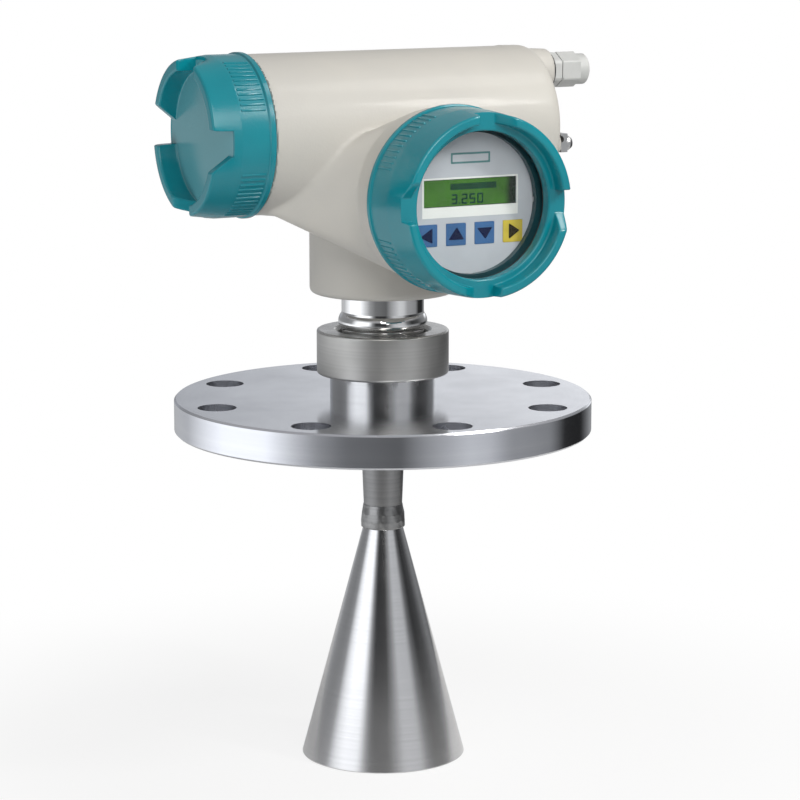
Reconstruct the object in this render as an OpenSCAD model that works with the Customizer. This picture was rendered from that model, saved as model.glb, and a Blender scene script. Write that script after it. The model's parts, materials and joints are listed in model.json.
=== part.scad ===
// Radar level transmitter: a flange-mounted horn antenna that carries a swivelling
// two-compartment housing with a display at the front and terminals at the left end.
// The origin is the centre of the flange's lower face, +Z points up out of the vessel.
// The display looks along -Y, the terminal cover along -X and the cable gland along +X.

/* [Flange] */
// Outside diameter of the flange
flange_od = 250; // [240:1:280]
// Thickness of the flange
flange_t = 20; // [16:0.5:26]
// Distance of the bolt circle from the flange's rim
bolt_inset = 20; // [15:0.5:26]
// Diameter of each bolt hole
bolt_hole = 23; // [14:0.5:26]
// Number of bolt holes
bolt_count = 8; // [4:4:12]
// Turn of the bolt pattern about the axis
bolt_turn = -4.5; // [-22.5:0.5:22.5]
// Chamfer on the edges of the flange
flange_chamfer = 1.2; // [0.5:0.1:3]

/* [Sleeve and union nut] */
// Outside diameter of the sleeve welded to the flange
sleeve_od = 63.2; // [60:0.2:66]
// Bore of the sleeve
sleeve_bore = 40; // [32:0.5:44]
// Height of the sleeve above the flange
sleeve_h = 30; // [26:0.5:40]
// Depth of the sleeve's seat in the flange
sleeve_seat = 6; // [3:0.5:10]
// Outside diameter of the union nut
nut_od = 79; // [74:0.5:90]
// Height of the union nut
nut_h = 26.4; // [20:0.2:28]
// Thickness of the lip at the top of the nut
nut_lip = 3.6; // [2.5:0.1:6]
// Chamfer on the edges of the nut
nut_chamfer = 1.2; // [0.5:0.1:2]

/* [Antenna] */
// Bore of the waveguide
waveguide_bore = 19; // [16:0.5:20]
// Diameter of the waveguide at the flange
waveguide_root_d = 26.8; // [25:0.1:30]
// Diameter of the waveguide at the horn
waveguide_tip_d = 23.2; // [22:0.1:26]
// Length of the waveguide below the flange
waveguide_drop = 60; // [40:1:150]
// Length of the weld collar above the horn
collar_h = 14; // [10:0.5:20]
// Diameter of the weld collar
collar_od = 26.6; // [25:0.2:30]
// Length of the horn
horn_len = 140.5; // [80:0.5:200]
// Outside diameter of the horn at its throat
horn_throat_od = 28.2; // [27:0.2:34]
// Outside diameter of the horn at its mouth
horn_mouth_od = 98.8; // [70:0.2:120]
// Wall of the horn at its mouth
horn_wall = 1.5; // [1:0.1:3]

/* [Process window] */
// Thickness of the window's clamped rim
window_rim_t = 3; // [2:0.1:5]
// Length of the window's plug inside the waveguide
plug_len = 30; // [20:1:34]
// Length of the plug's conical tip
plug_tip = 16; // [8:1:24]

/* [Neck] */
// Outside diameter of the neck
neck_od = 49.2; // [46:0.2:51]
// Bore of the neck
neck_bore = 38; // [34:0.5:40]
// Diameter of the bead above the nut
bead_od = 53.2; // [51:0.2:55]
// Height of the bead's middle above the nut's top
bead_rise = 5; // [3:0.5:8]
// Thickness of the foot that the nut clamps
foot_t = 4; // [3:0.1:6]
// Depth of the O-ring groove in the neck
neck_groove = 2; // [1.5:0.1:2.5]

/* [Housing] */
// Height of the housing's lower face above the flange's lower face
head_z = 83; // [78:0.5:120]
// Height of the barrel's axis above the housing's lower face
barrel_rise = 97; // [92:0.5:105]
// Height of the display branch's axis above the housing's lower face
branch_rise = 63.7; // [60:0.5:70]
// Sideways offset of the display branch
branch_x = 3.7; // [-5:0.1:5]
// Diameter of the neck boss
boss_od = 87.2; // [80:0.5:96]
// Rounding of the neck boss's lower edge
boss_round = 3; // [1:0.5:5]
// Depth of the neck's seat in the boss
seat_h = 25; // [22:0.5:28]
// Diameter of the barrel
barrel_od = 93; // [91:0.5:95]
// Distance from the axis to the terminal cover's seam
seam_x = 90.3; // [84:0.5:110]
// Distance from the axis to the barrel's blind end
blind_x = 97; // [90:0.5:110]
// Bevel on the barrel's blind end
blind_bevel = 5; // [2:0.5:8]
// Diameter of the display branch
branch_od = 101; // [99:0.5:105]
// Distance from the axis to the display cover's seam
seam_y = 79.5; // [74:0.5:90]
// Length of the branch's straight stretch behind the seam
branch_straight = 18; // [10:0.5:24]
// Half length of the belly under the barrel
belly_x = 64; // [56:0.5:70]
// Rounding of the belly's lower edge
belly_r = 24; // [18:0.5:28]
// Bore of the terminal compartment
terminal_bore = 75; // [70:0.5:77]
// Distance from the axis to the partition's left face
partition_x = 34; // [30:0.5:40]
// Thickness of the partition
partition_t = 6; // [4:0.5:8]
// Bore of the electronics compartment in the barrel
barrel_bore = 80; // [70:0.5:82]
// Thickness of the blind end's wall
blind_wall = 7; // [5:0.5:9]
// Bore of the display branch in front of its ledge
branch_bore = 84; // [82:0.5:86]
// Bore of the display branch behind its ledge
ledge_bore = 76; // [70:0.5:78]
// Distance from the seam back to the ledge in the display branch
ledge_back = -17.5; // [-20:0.5:-14]

/* [Covers] */
// Depth of the terminal cover
terminal_cover_h = 37.5; // [34:0.5:44]
// Diameter of the terminal cover's rear band
terminal_band_od = 95.8; // [95:0.2:100]
// Diameter of the terminal cover at its front
terminal_front_od = 89.5; // [86:0.5:93]
// Diameter inside the terminal cover's lugs
terminal_lug_id = 77; // [60:1:80]
// Width of the gaps between the terminal cover's lugs
terminal_gap = 14; // [10:0.5:24]
// Depth of the display cover
display_cover_h = 48; // [45:0.5:54]
// Diameter of the display cover's rear band
display_band_od = 107.8; // [106:0.2:112]
// Diameter of the display cover at its front
display_front_od = 103.3; // [100:0.5:106]
// Diameter inside the display cover's lugs
display_lug_id = 93; // [90:0.5:96]
// Width of the gaps between the display cover's lugs
display_gap = 13; // [8:0.5:20]
// Height of the terminal cover's lugs
terminal_lug_h = 12; // [8:0.5:13]
// Height of the display cover's lugs
display_lug_h = 9; // [5:0.5:10]
// Length of the ramp that runs up to one end of each lug
lug_ramp = 9; // [4:0.5:12]
// Thickness of the terminal cover's floor
terminal_floor_t = 3.3; // [2:0.1:3.8]
// Length of the rear band on both covers
band_h = 3.2; // [2:0.2:5]
// Step from the rear band down to the skirt
band_step = 1; // [0.5:0.1:1.5]
// Wall between a cover's thread and its rear band
thread_wall = 4.9; // [4.5:0.1:6]
// Length of the thread on the housing's spouts
thread_len = 21.5; // [16:0.5:22]
// Distance that a cover's seam stands off the housing's shoulder
seam_gap = 0.8; // [0.4:0.1:1.5]
// Radial clearance of the threads drawn as plain cylinders
thread_play = 0.1; // [0.05:0.01:0.1]
// Width of each grip rib
rib_w = 1.1; // [0.6:0.1:1.5]
// Height of each grip rib
rib_h = 0.6; // [0.3:0.1:0.9]
// Angle from one grip rib to the next
rib_pitch = 4; // [3:0.5:6]
// Number of grip ribs behind each lug
rib_count = 12; // [6:1:13]
// Length of the grip ribs
rib_len = 15; // [10:0.5:18]

/* [Window] */
// Diameter of the window opening
window_d = 83.5; // [78:0.5:84]
// Diameter of the glass
glass_d = 88; // [87:0.5:89]
// Thickness of the glass
glass_t = 5; // [4:0.5:6]
// Thickness of the gasket in front of the glass
gasket_t = 1; // [0.5:0.1:1.5]
// Thickness of the cover's front ring round the window
front_ring_t = 6.5; // [5:0.5:8]
// Thickness of the ring that holds the glass
retainer_t = 4; // [3:0.5:5]
// Inner diameter of the ring that holds the glass
retainer_id = 80; // [76:0.5:82]

/* [Display] */
// Distance from the display cover's seam to the front of the face plate
plate_front = 22; // [20:0.5:22]
// Thickness of the face plate
plate_t = 2; // [1.5:0.1:3]
// Width of the liquid-crystal display
lcd_w = 59; // [50:0.5:62]
// Height of the liquid-crystal display
lcd_h = 15.5; // [12:0.5:18]
// Height of the display's middle above the face plate's centre
lcd_rise = 6; // [3:0.5:10]
// Size of each key
key_size = 12.8; // [10:0.2:14]
// Distance from one key to the next
key_pitch = 18.2; // [15:0.2:18.6]
// Distance of the key row below the face plate's centre
key_drop = 17.5; // [15:0.5:20]
// Height that the keys stand proud of the face plate
key_proud = 0.3; // [0.1:0.1:0.4]
// Space for the display between the face plate and its board
lcd_space = 8; // [7:0.5:10]
// Hole in the back of the display carrier
carrier_hole = 24; // [18:1:28]

/* [Electronics] */
// Thickness of every circuit board
board_t = 1.6; // [1:0.1:2]
// Width of the main board
main_board_w = 50; // [40:1:52]
// Height of the main board
main_board_h = 38; // [30:1:40]
// Length of the spacers behind the display carrier
spacer_len = 28; // [20:1:32]
// Length of the power board
power_board_l = 92; // [80:1:100]
// Height of the power board
power_board_h = 52; // [44:1:54]
// Distance of the power board from the back of the barrel's bore
power_board_inset = 16; // [14:0.5:20]
// Distance of the power board's screws from its edges
board_margin = 6; // [4:0.5:7]

/* [Terminals] */
// Number of poles in the terminal block
poles = 6; // [4:1:6]
// Distance from one pole to the next
pole_pitch = 7.6; // [6:0.2:7.6]
// Depth of the terminal block
block_d = 16; // [12:0.5:22]
// Height of the terminal block
block_h = 22; // [16:0.5:24]
// Width of the terminal block's two screw ears
block_ear = 7; // [6:0.5:7]
// Depth of the terminal block's wire mouths
mouth_depth = 8; // [5:0.5:9]
// Diameter of the feedthrough in the partition
feed_d = 18; // [14:0.5:20]
// Distance of the feedthrough below the barrel's axis
feed_drop = 20; // [14:1:22]
// Pins of the feedthrough
feed_pins = 6; // [3:1:8]
// Diameter of the inner earth screw's thread
inner_earth_thread = 4; // [3:0.5:5]

/* [Cable gland] */
// Distance of the gland's axis below the top of the barrel
gland_inset = 15.5; // [15:0.5:19]
// Nominal diameter of the gland's thread
gland_thread = 16; // [14:0.5:18]
// Bore of the conduit from the gland to the terminals
conduit_bore = 12; // [8:0.5:12]
// Wall of the conduit inside the electronics compartment
conduit_wall = 4; // [2:0.5:4]
// Length of the cast boss that holds the gland
entry_len = 13; // [10:0.5:18]
// Diameter of that boss at its root
entry_root_d = 30; // [26:0.5:34]
// Diameter of that boss at its face
entry_face_d = 24; // [20:0.5:26]
// Size across the flats of the gland's hexagons
gland_flats = 19; // [17:0.5:22]
// Length of the gland nut
gland_nut_len = 20; // [16:0.5:24]
// Cable hole through the gland's rubber insert
cable_hole = 8; // [5:0.5:9]

/* [Hidden] */
$fn = 96;

slip = 0.05;            // radial running clearance of turning fits
seat_gap = 0.2;         // clearance between parts that only lie in one another
over = 1;               // how far a cutting tool runs past a face

// Stack of the process connection, from the flange upwards
sleeve_top = flange_t + sleeve_h;
rim_top = sleeve_top + window_rim_t;
foot_top = rim_top + foot_t;
nut_top = foot_top + seat_gap + nut_lip;
nut_bottom = nut_top - nut_h;
bead_z = nut_top + bead_rise;
bead_round = 7;         // radius of the bead's section
foot_d = sleeve_od - 0.8;
lip_bore = bead_od + 1.2;
hub_d = 48.2;           // flange at the top of the waveguide
hub_t = 4;

// Heights in the housing
floor_z = head_z + seat_h;
barrel_z = head_z + barrel_rise;
branch_z = head_z + branch_rise;
gland_z = barrel_z + barrel_od / 2 - gland_inset;
neck_top = floor_z + 5;
module_z = foot_top + 5;
o_ring_z = head_z + 7;
well_d = 68;            // vertical well above the neck, inside the boss
lock_z = head_z + 14;
lock_groove = 1.4;      // depth of the neck's groove for the lock screw
lock_thread = 6;

// Spouts and covers
shoulder_x = seam_x - seam_gap;
shoulder_y = seam_y - seam_gap;
terminal_thread_d = terminal_band_od - 2 * thread_wall - 2 * thread_play;
display_thread_d = display_band_od - 2 * thread_wall - 2 * thread_play - 4;
terminal_spout_x = shoulder_x + thread_len + 1;
display_spout_y = shoulder_y + thread_len - 4;
seal_r = 1.1;           // section radius of the cover seals
seal_z = 3.3;           // distance of the seal's middle from the seam
terminal_floor = terminal_cover_h - terminal_lug_h;
display_floor = display_cover_h - display_lug_h;
ring_back = display_floor - front_ring_t;
glass_back = ring_back - gasket_t - glass_t;
retainer_back = glass_back - retainer_t;

// Face plate and carrier, as distances along -Y
ledge_y = seam_y + ledge_back;
plate_y = seam_y + plate_front;
carrier_front = plate_y - plate_t;
carrier_d = branch_bore - 2 * 0.3;
carrier_wall = 2;
board_seat_y = carrier_front - lcd_space;
main_board_y = ledge_y - spacer_len;
key_x = [-1.5, -0.5, 0.5, 1.5];

// Power board and what stands on it
power_board_y = barrel_bore / 2 - power_board_inset;

// Gland, as distances along +X
entry_x = blind_x + entry_len;
washer_t = 1.5;
gland_hex_t = 5;
gland_hex_x = entry_x + washer_t;
gland_nut_x = gland_hex_x + gland_hex_t + 0.6;
gland_tube_x = gland_nut_x + 9;
gland_pin_d = gland_thread - 0.1;

// Earth terminal beside the terminal block
inner_earth_y = -feed_drop + 2;
inner_earth_z = barrel_z - feed_drop - 4;

// Earth terminal on the blind end
earth_y = -34;
earth_z = barrel_z - 10;
earth_thread = 5;

// Fine grip on the cover skirts starts behind the rear band
rib_start = band_h + 1.6;

// Places a part whose own +Z runs along +X at the given height
module along_x(x, z) {
    translate([x, 0, z]) rotate([0, 90, 0]) children();
}

// Places a part whose own +Z runs along -X, with its own +X pointing up
module along_minus_x(x, z) {
    translate([-x, 0, z]) rotate([0, -90, 0]) children();
}

// Places a part whose own +Z runs along -Y, with its own +Y pointing up
module along_minus_y(x, y, z) {
    translate([x, -y, z]) rotate([90, 0, 0]) children();
}

// A plain ring from z = 0 upwards
module ring(outer_d, inner_d, h) {
    difference() {
        cylinder(d = outer_d, h = h);
        translate([0, 0, -over]) cylinder(d = inner_d, h = h + 2 * over);
    }
}

// A pan-head screw: the head rises from z = 0, the shank goes down
module pan_screw(head_d, head_h, shank_d, shank_len) {
    difference() {
        union() {
            rotate_extrude()
                polygon([[0, 0], [head_d / 2, 0], [head_d / 2, head_h * 0.55],
                    [head_d * 0.36, head_h], [0, head_h]]);
            translate([0, 0, -shank_len]) cylinder(d = shank_d, h = shank_len + head_h / 2);
        }
        translate([-head_d, -head_d * 0.07, head_h * 0.55])
            cube([2 * head_d, head_d * 0.14, head_h]);
    }
}

// A socket set screw along +Z, its outer end at z = 0
module set_screw(d, len, socket) {
    difference() {
        translate([0, 0, -len]) cylinder(d = d, h = len);
        translate([0, 0, -socket]) cylinder(d = socket, h = socket + over, $fn = 6);
    }
}

module flange() {
    r = flange_od / 2;
    c = flange_chamfer;
    color([0.70, 0.71, 0.74])
    difference() {
        rotate_extrude()
            polygon([[0, 0], [r - c, 0], [r, c], [r, flange_t - c], [r - c, flange_t], [0, flange_t]]);
        translate([0, 0, -over]) cylinder(d = waveguide_root_d + 0.2, h = flange_t + 2 * over);
        translate([0, 0, flange_t - sleeve_seat]) cylinder(d = sleeve_od + 0.1, h = sleeve_seat + over);
        for (i = [0 : bolt_count - 1])
            rotate(bolt_turn + i * 360 / bolt_count)
                translate([r - bolt_inset, 0, -over])
                    cylinder(d = bolt_hole, h = flange_t + 2 * over);
    }
}

module mounting_sleeve() {
    r = sleeve_od / 2;
    b = sleeve_bore / 2;
    h = (hub_d + 0.2) / 2;
    z0 = flange_t - sleeve_seat;
    color([0.72, 0.72, 0.71])
    rotate_extrude()
        polygon([[b, z0], [r, z0], [r, sleeve_top - 1], [r - 1, sleeve_top], [h, sleeve_top],
            [h, sleeve_top - hub_t], [b, sleeve_top - hub_t]]);
}

module union_nut() {
    r = nut_od / 2;
    c = nut_chamfer;
    t = sleeve_od / 2 + thread_play;
    l = lip_bore / 2;
    color([0.66, 0.66, 0.64])
    rotate_extrude()
        polygon([[t, nut_bottom], [r - c, nut_bottom], [r, nut_bottom + c], [r, nut_top - c],
            [r - c, nut_top], [l + 2, nut_top], [l, nut_top - 2], [l, foot_top + seat_gap],
            [t, foot_top + seat_gap]]);
}

module waveguide_tube() {
    b = waveguide_bore / 2;
    root = waveguide_root_d / 2;
    tip = waveguide_tip_d / 2;
    z1 = sleeve_top - hub_t;
    color([0.60, 0.60, 0.60])
    rotate_extrude()
        polygon([[b, -waveguide_drop], [tip, -waveguide_drop], [tip, collar_h - waveguide_drop],
            [root, 0], [root, z1], [hub_d / 2, z1], [hub_d / 2, sleeve_top], [b, sleeve_top]]);
}

module horn_collar() {
    tip = waveguide_tip_d / 2 + slip;
    r = collar_od / 2;
    z0 = -waveguide_drop;
    color([0.58, 0.58, 0.58])
    rotate_extrude()
        polygon([[tip, z0], [r, z0], [r, z0 + collar_h * 0.58], [tip + 0.3, z0 + collar_h],
            [tip, z0 + collar_h]]);
}

module antenna_horn() {
    z0 = -waveguide_drop;
    z1 = z0 - horn_len;
    color([0.74, 0.74, 0.73])
    rotate_extrude()
        polygon([[waveguide_bore / 2, z0], [horn_throat_od / 2, z0], [horn_mouth_od / 2, z1],
            [horn_mouth_od / 2 - horn_wall, z1]]);
}

module process_window() {
    p = waveguide_bore / 2 - slip;
    color([0.95, 0.95, 0.93])
    difference() {
        rotate_extrude()
            polygon([[0, sleeve_top - plug_len - plug_tip], [p, sleeve_top - plug_len], [p, sleeve_top],
                [foot_d / 2, sleeve_top], [foot_d / 2, rim_top], [0, rim_top]]);
        translate([0, 0, rim_top - 14]) cylinder(d = 2.4, h = 14 + over);
    }
}

// Section of the neck's bead: a round bulge on the neck's wall
function bead(n) = [for (i = [0 : n]) let (a = -42 + 84 * i / n)
    [bead_od / 2 - bead_round + bead_round * cos(a), bead_z + bead_round * sin(a)]];

module neck_tube() {
    r = neck_od / 2;
    b = neck_bore / 2;
    foot = foot_d / 2;
    g = r - neck_groove;
    lg = r - lock_groove;
    lh = lock_thread / 2 + seat_gap;
    s = r - 1.5;
    snap_z = floor_z + 0.3;
    waist = r - 0.1;
    color([0.78, 0.78, 0.78])
    rotate_extrude()
        polygon(concat(
            [[14, rim_top], [foot, rim_top], [foot, foot_top], [waist, foot_top]],
            bead(16),
            [[r, bead_z + 6], [r, o_ring_z - 1.4], [g, o_ring_z - 1.4], [g, o_ring_z + 1.4],
            [r, o_ring_z + 1.4], [r, lock_z - lh], [lg, lock_z - lh], [lg, lock_z + lh],
            [r, lock_z + lh], [r, snap_z], [s, snap_z], [s, snap_z + 1.7], [r, snap_z + 1.7],
            [r, neck_top], [b, neck_top], [b, module_z], [14, module_z]]));
}

module neck_o_ring() {
    section = neck_groove / 2;
    color([0.08, 0.08, 0.08])
    translate([0, 0, o_ring_z])
        rotate_extrude() translate([neck_od / 2 - section, 0]) circle(r = section, $fn = 32);
}

module neck_snap_ring() {
    s = neck_od - 3 + 0.2;
    color([0.35, 0.35, 0.36])
    difference() {
        translate([0, 0, floor_z + 0.4]) ring(neck_od + 6, s, 1.5);
        translate([0, -4, floor_z]) cube([neck_od, 8, 4]);
    }
}

module microwave_module() {
    r = neck_bore / 2 - seat_gap;
    color([0.80, 0.78, 0.62])
    union() {
        rotate_extrude()
            polygon([[0, rim_top + 2], [6, rim_top + 2], [6, module_z], [r, module_z],
                [r, floor_z - 4], [r - 1, floor_z - 3], [0, floor_z - 3]]);
        translate([0, 0, floor_z - 4]) cylinder(d = 8, h = 9);
    }
}

module antenna_probe() {
    color([0.83, 0.66, 0.30])
    translate([0, 0, rim_top - 12]) cylinder(d = 2, h = 14);
}

// Outside of the casting, without the spouts' threads
module housing_outside() {
    r = barrel_od / 2;
    b = blind_bevel;
    br = boss_od / 2;
    c = boss_round;
    // barrel, bevelled at the blind end
    along_x(0, barrel_z)
        rotate_extrude()
            polygon([[0, -shoulder_x], [r, -shoulder_x], [r, blind_x - b], [r - b * 0.6, blind_x],
                [0, blind_x]]);
    // display branch and the belly that blends it into the barrel
    along_minus_y(branch_x, shoulder_y - branch_straight + 0.5, branch_z)
        cylinder(d = branch_od, h = branch_straight - 0.5);
    hull() {
        along_minus_y(branch_x, shoulder_y - branch_straight, branch_z)
            cylinder(d = branch_od + 0.6, h = 1, $fn = 72);
        along_x(-belly_x, barrel_z - barrel_od / 2 + belly_r + 0.4)
            cylinder(r = belly_r, h = 2 * belly_x, $fn = 32);
    }
    // neck boss
    rotate_extrude()
        polygon(concat([[0, head_z]],
            [for (a = [-90 : 15 : 0]) [br - c + c * cos(a), head_z + c + c * sin(a)]],
            [[br, barrel_z - 20], [0, barrel_z - 20]]));
    // threaded spouts
    along_minus_x(shoulder_x - over, barrel_z)
        cylinder(d = terminal_thread_d, h = terminal_spout_x - shoulder_x + over);
    along_minus_y(branch_x, shoulder_y - over, branch_z)
        cylinder(d = display_thread_d, h = display_spout_y - shoulder_y + over);
    // boss of the cable gland
    along_x(blind_x - blind_wall, gland_z)
        cylinder(d1 = entry_root_d, d2 = entry_face_d, h = entry_len + blind_wall);
    // pad of the outer earth terminal
    translate([blind_x - over, earth_y, earth_z]) rotate([0, 90, 0]) cylinder(d = 13, h = 2 + over);
}

// Compartment behind the terminal cover
module terminal_space() {
    along_minus_x(partition_x, barrel_z) cylinder(d = terminal_bore, h = terminal_spout_x);
}

// Compartment for the electronics
module electronics_space() {
    // stretch in the barrel
    along_x(partition_t - partition_x, barrel_z)
        cylinder(d = barrel_bore, h = blind_x - blind_wall + partition_x - partition_t);
    // display branch: wide in front of the ledge, narrowing behind it
    along_minus_y(branch_x, ledge_y, branch_z)
        cylinder(d = branch_bore, h = display_spout_y - ledge_y + over);
    along_minus_y(branch_x, ledge_y - 14, branch_z) cylinder(d = ledge_bore, h = 14 + over);
    along_minus_y(branch_x, ledge_y - 40, branch_z)
        cylinder(d1 = ledge_bore - 16, d2 = ledge_bore, h = 26);
    // well above the neck
    translate([0, 0, floor_z]) cylinder(d = well_d, h = barrel_z - 10 - floor_z);
}

// Pillars that carry the power board
module pillars() {
    for (x = [-1, 1], z = [-1, 1])
        translate([power_x() + x * (power_board_l / 2 - board_margin), power_board_y + board_t,
            power_z() + z * (power_board_h / 2 - board_margin)])
            rotate([-90, 0, 0])
                cylinder(d = 7, h = barrel_bore / 2 - power_board_y - board_t);
}

function power_x() = (blind_x - blind_wall - partition_x + partition_t) / 2;
function power_z() = barrel_z - 1;

module housing() {
    conduit_end = blind_x - blind_wall;
    color([0.80, 0.79, 0.76])
    difference() {
        union() {
            difference() {
                housing_outside();
                terminal_space();
                electronics_space();
            }
            // conduit that leads the cable past the electronics
            along_x(-partition_x + 1, gland_z)
                cylinder(d = conduit_bore + 2 * conduit_wall, h = conduit_end + partition_x);
            intersection() {
                pillars();
                along_x(-partition_x, barrel_z)
                    cylinder(d = barrel_bore + 2, h = blind_x + partition_x - 2);
            }
        }
        // bore that turns on the neck
        translate([0, 0, head_z - over]) cylinder(d = neck_od + 2 * slip, h = seat_h + 2 * over);
        // conduit and gland thread
        along_x(-partition_x - over, gland_z)
            cylinder(d = conduit_bore, h = entry_x + partition_x + 2 * over);
        along_x(blind_x, gland_z) cylinder(d = gland_thread, h = entry_len + over);
        // feedthrough in the partition
        along_x(-partition_x - over, barrel_z - feed_drop)
            cylinder(d = feed_d, h = partition_t + 2 * over);
        // lock screw of the swivel, at the back of the boss
        translate([0, neck_od / 2 - 1, lock_z]) rotate([-90, 0, 0])
            cylinder(d = lock_thread, h = boss_od / 2);
        // lock screw of the gland
        gland_lock_place() translate([0, 0, -entry_root_d / 2]) cylinder(d = 5, h = entry_root_d);
        // screw holes of the terminals and of both earth terminals
        for (y = [-1, 1])
            translate([-partition_x - over, y * block_screw_y(), block_z()]) rotate([0, 90, 0])
                cylinder(d = 3, h = 5);
        translate([-partition_x - over, inner_earth_y, inner_earth_z]) rotate([0, 90, 0])
            cylinder(d = inner_earth_thread, h = 5);
        translate([blind_x - 5, earth_y, earth_z]) rotate([0, 90, 0])
            cylinder(d = earth_thread, h = 10);
        // screw holes in the pillars
        for (x = [-1, 1], z = [-1, 1])
            translate([power_x() + x * (power_board_l / 2 - board_margin), power_board_y,
                power_z() + z * (power_board_h / 2 - board_margin)])
                rotate([-90, 0, 0]) cylinder(d = 2.6, h = 7);
    }
}

module swivel_lock_screw() {
    color([0.30, 0.30, 0.31])
    translate([0, boss_od / 2 - 1, lock_z]) rotate([-90, 0, 0])
        set_screw(lock_thread - 0.1, boss_od / 2 - 1 - neck_od / 2 + 1, 3);
}

// Fine ribs on a cover's skirt, in the four arcs behind the lugs
module grip_ribs(skirt_r) {
    for (q = [45 : 90 : 315], i = [0 : rib_count - 1])
        rotate(q + (i - (rib_count - 1) / 2) * rib_pitch)
            translate([skirt_r - 1, -rib_w / 2, rib_start]) cube([1 + rib_h, rib_w, rib_len]);
}

// Four slots that part a cover's front ring into lugs, each slot with a ramp on one side
module lug_slots(gap, from_z, h, reach) {
    for (a = [0 : 90 : 270])
        rotate(a) translate([0, 0, from_z]) rotate([90, 0, 90]) linear_extrude(reach)
            polygon([[-gap / 2, 0], [gap / 2, 0], [gap / 2, h + 1], [-gap / 2 - lug_ramp, h + 1],
                [-gap / 2 - lug_ramp, h]]);
}

module terminal_cover() {
    band = terminal_band_od / 2;
    skirt = band - band_step;
    front = terminal_front_od / 2;
    bore = terminal_thread_d / 2 + thread_play;
    groove = bore + 2 * seal_r + 0.2;
    f = terminal_floor;
    h = terminal_cover_h;
    taper = rib_start + rib_len + 1;
    root = front + (skirt - front) * terminal_lug_h / (h - taper);
    inner = terminal_lug_id / 2;
    color([0.05, 0.52, 0.56])
    along_minus_x(seam_x, barrel_z)
    difference() {
        union() {
            rotate_extrude()
                polygon([[bore, 0], [band - 0.4, 0], [band, 0.4], [band, band_h], [skirt, band_h + 0.8],
                    [skirt, taper], [root, f], [front, h - 1], [front - 1, h],
                    [inner + 1, h], [inner, h - 1], [inner, f], [0, f],
                    [0, f - terminal_floor_t], [bore, f - terminal_floor_t],
                    [bore, seal_z + seal_r + 0.2], [groove, seal_z + seal_r + 0.2],
                    [groove, seal_z - seal_r - 0.2], [bore, seal_z - seal_r - 0.2]]);
            grip_ribs(skirt);
        }
        lug_slots(terminal_gap, f, terminal_lug_h, band + 2);
    }
}

// Seal ring in a cover's groove
module cover_seal(thread_d) {
    color([0.06, 0.06, 0.06])
    translate([0, 0, seal_z])
        rotate_extrude() translate([thread_d / 2 + thread_play + seal_r + 0.1, 0])
            circle(r = seal_r, $fn = 32);
}

module terminal_cover_seal() {
    along_minus_x(seam_x, barrel_z) cover_seal(terminal_thread_d);
}

module display_cover() {
    band = display_band_od / 2;
    skirt = band - band_step;
    front = display_front_od / 2;
    bore = display_thread_d / 2 + thread_play;
    groove = bore + 2 * seal_r + 0.2;
    seat = glass_d / 2 + seat_gap;
    f = display_floor;
    h = display_cover_h;
    taper = rib_start + rib_len + 4;
    inner = display_lug_id / 2;
    win = window_d / 2;
    color([0.05, 0.52, 0.56])
    along_minus_y(branch_x, seam_y, branch_z)
    difference() {
        union() {
            rotate_extrude()
                polygon([[bore, 0], [band - 0.4, 0], [band, 0.4], [band, band_h], [skirt, band_h + 0.8],
                    [skirt, taper], [front, h - 2], [front - 1.5, h], [inner + 1, h],
                    [inner, h - 1], [inner - 0.5, f], [win + 1, f], [win, f - 1], [win, ring_back],
                    [seat, ring_back], [seat, retainer_back], [bore, retainer_back],
                    [bore, seal_z + seal_r + 0.2], [groove, seal_z + seal_r + 0.2],
                    [groove, seal_z - seal_r - 0.2], [bore, seal_z - seal_r - 0.2]]);
            grip_ribs(skirt);
        }
        lug_slots(display_gap, f, display_lug_h, band + 2);
    }
}

module display_cover_seal() {
    along_minus_y(branch_x, seam_y, branch_z) cover_seal(display_thread_d);
}

module window_gasket() {
    color([0.08, 0.08, 0.08])
    along_minus_y(branch_x, seam_y + ring_back - gasket_t, branch_z)
        ring(glass_d, window_d, gasket_t);
}

module window_glass() {
    color([0.85, 0.92, 0.95, 0.3])
    along_minus_y(branch_x, seam_y + glass_back, branch_z) cylinder(d = glass_d, h = glass_t);
}

module window_retainer() {
    color([0.10, 0.28, 0.30])
    along_minus_y(branch_x, seam_y + retainer_back, branch_z)
        difference() {
            ring(glass_d, retainer_id, retainer_t);
            for (a = [0 : 90 : 270])
                rotate(a) translate([retainer_id / 2 - 2, -1.5, -over]) cube([4, 3, 1.5 + over]);
        }
}

// Places a shape on the face plate's front, with its own +Y pointing up
module on_plate(x, z) {
    along_minus_y(branch_x + x, plate_y, branch_z + z) children();
}

module face_plate() {
    color([0.80, 0.82, 0.84])
    difference() {
        along_minus_y(branch_x, carrier_front, branch_z) cylinder(d = carrier_d, h = plate_t);
        on_plate(-lcd_w / 2, lcd_rise - lcd_h / 2)
            translate([0, 0, -plate_t - over]) cube([lcd_w, lcd_h, plate_t + 2 * over]);
        for (i = key_x)
            on_plate(i * key_pitch - key_size / 2, -key_drop - key_size / 2)
                translate([0, 0, -1]) cube([key_size, key_size, 1 + over]);
    }
}

module lcd_module() {
    c = 0.3;
    back = plate_y - board_seat_y - board_t;
    color([0.36, 0.56, 0.20])
    union() {
        on_plate(-lcd_w / 2 + c, lcd_rise - lcd_h / 2 + c)
            translate([0, 0, -plate_t - 1]) cube([lcd_w - 2 * c, lcd_h - 2 * c, plate_t + 0.6]);
        on_plate(-lcd_w / 2 - 2, lcd_rise - lcd_h / 2 - 3)
            translate([0, 0, -back]) cube([lcd_w + 4, lcd_h + 6, back - plate_t - 0.2]);
    }
}

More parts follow.
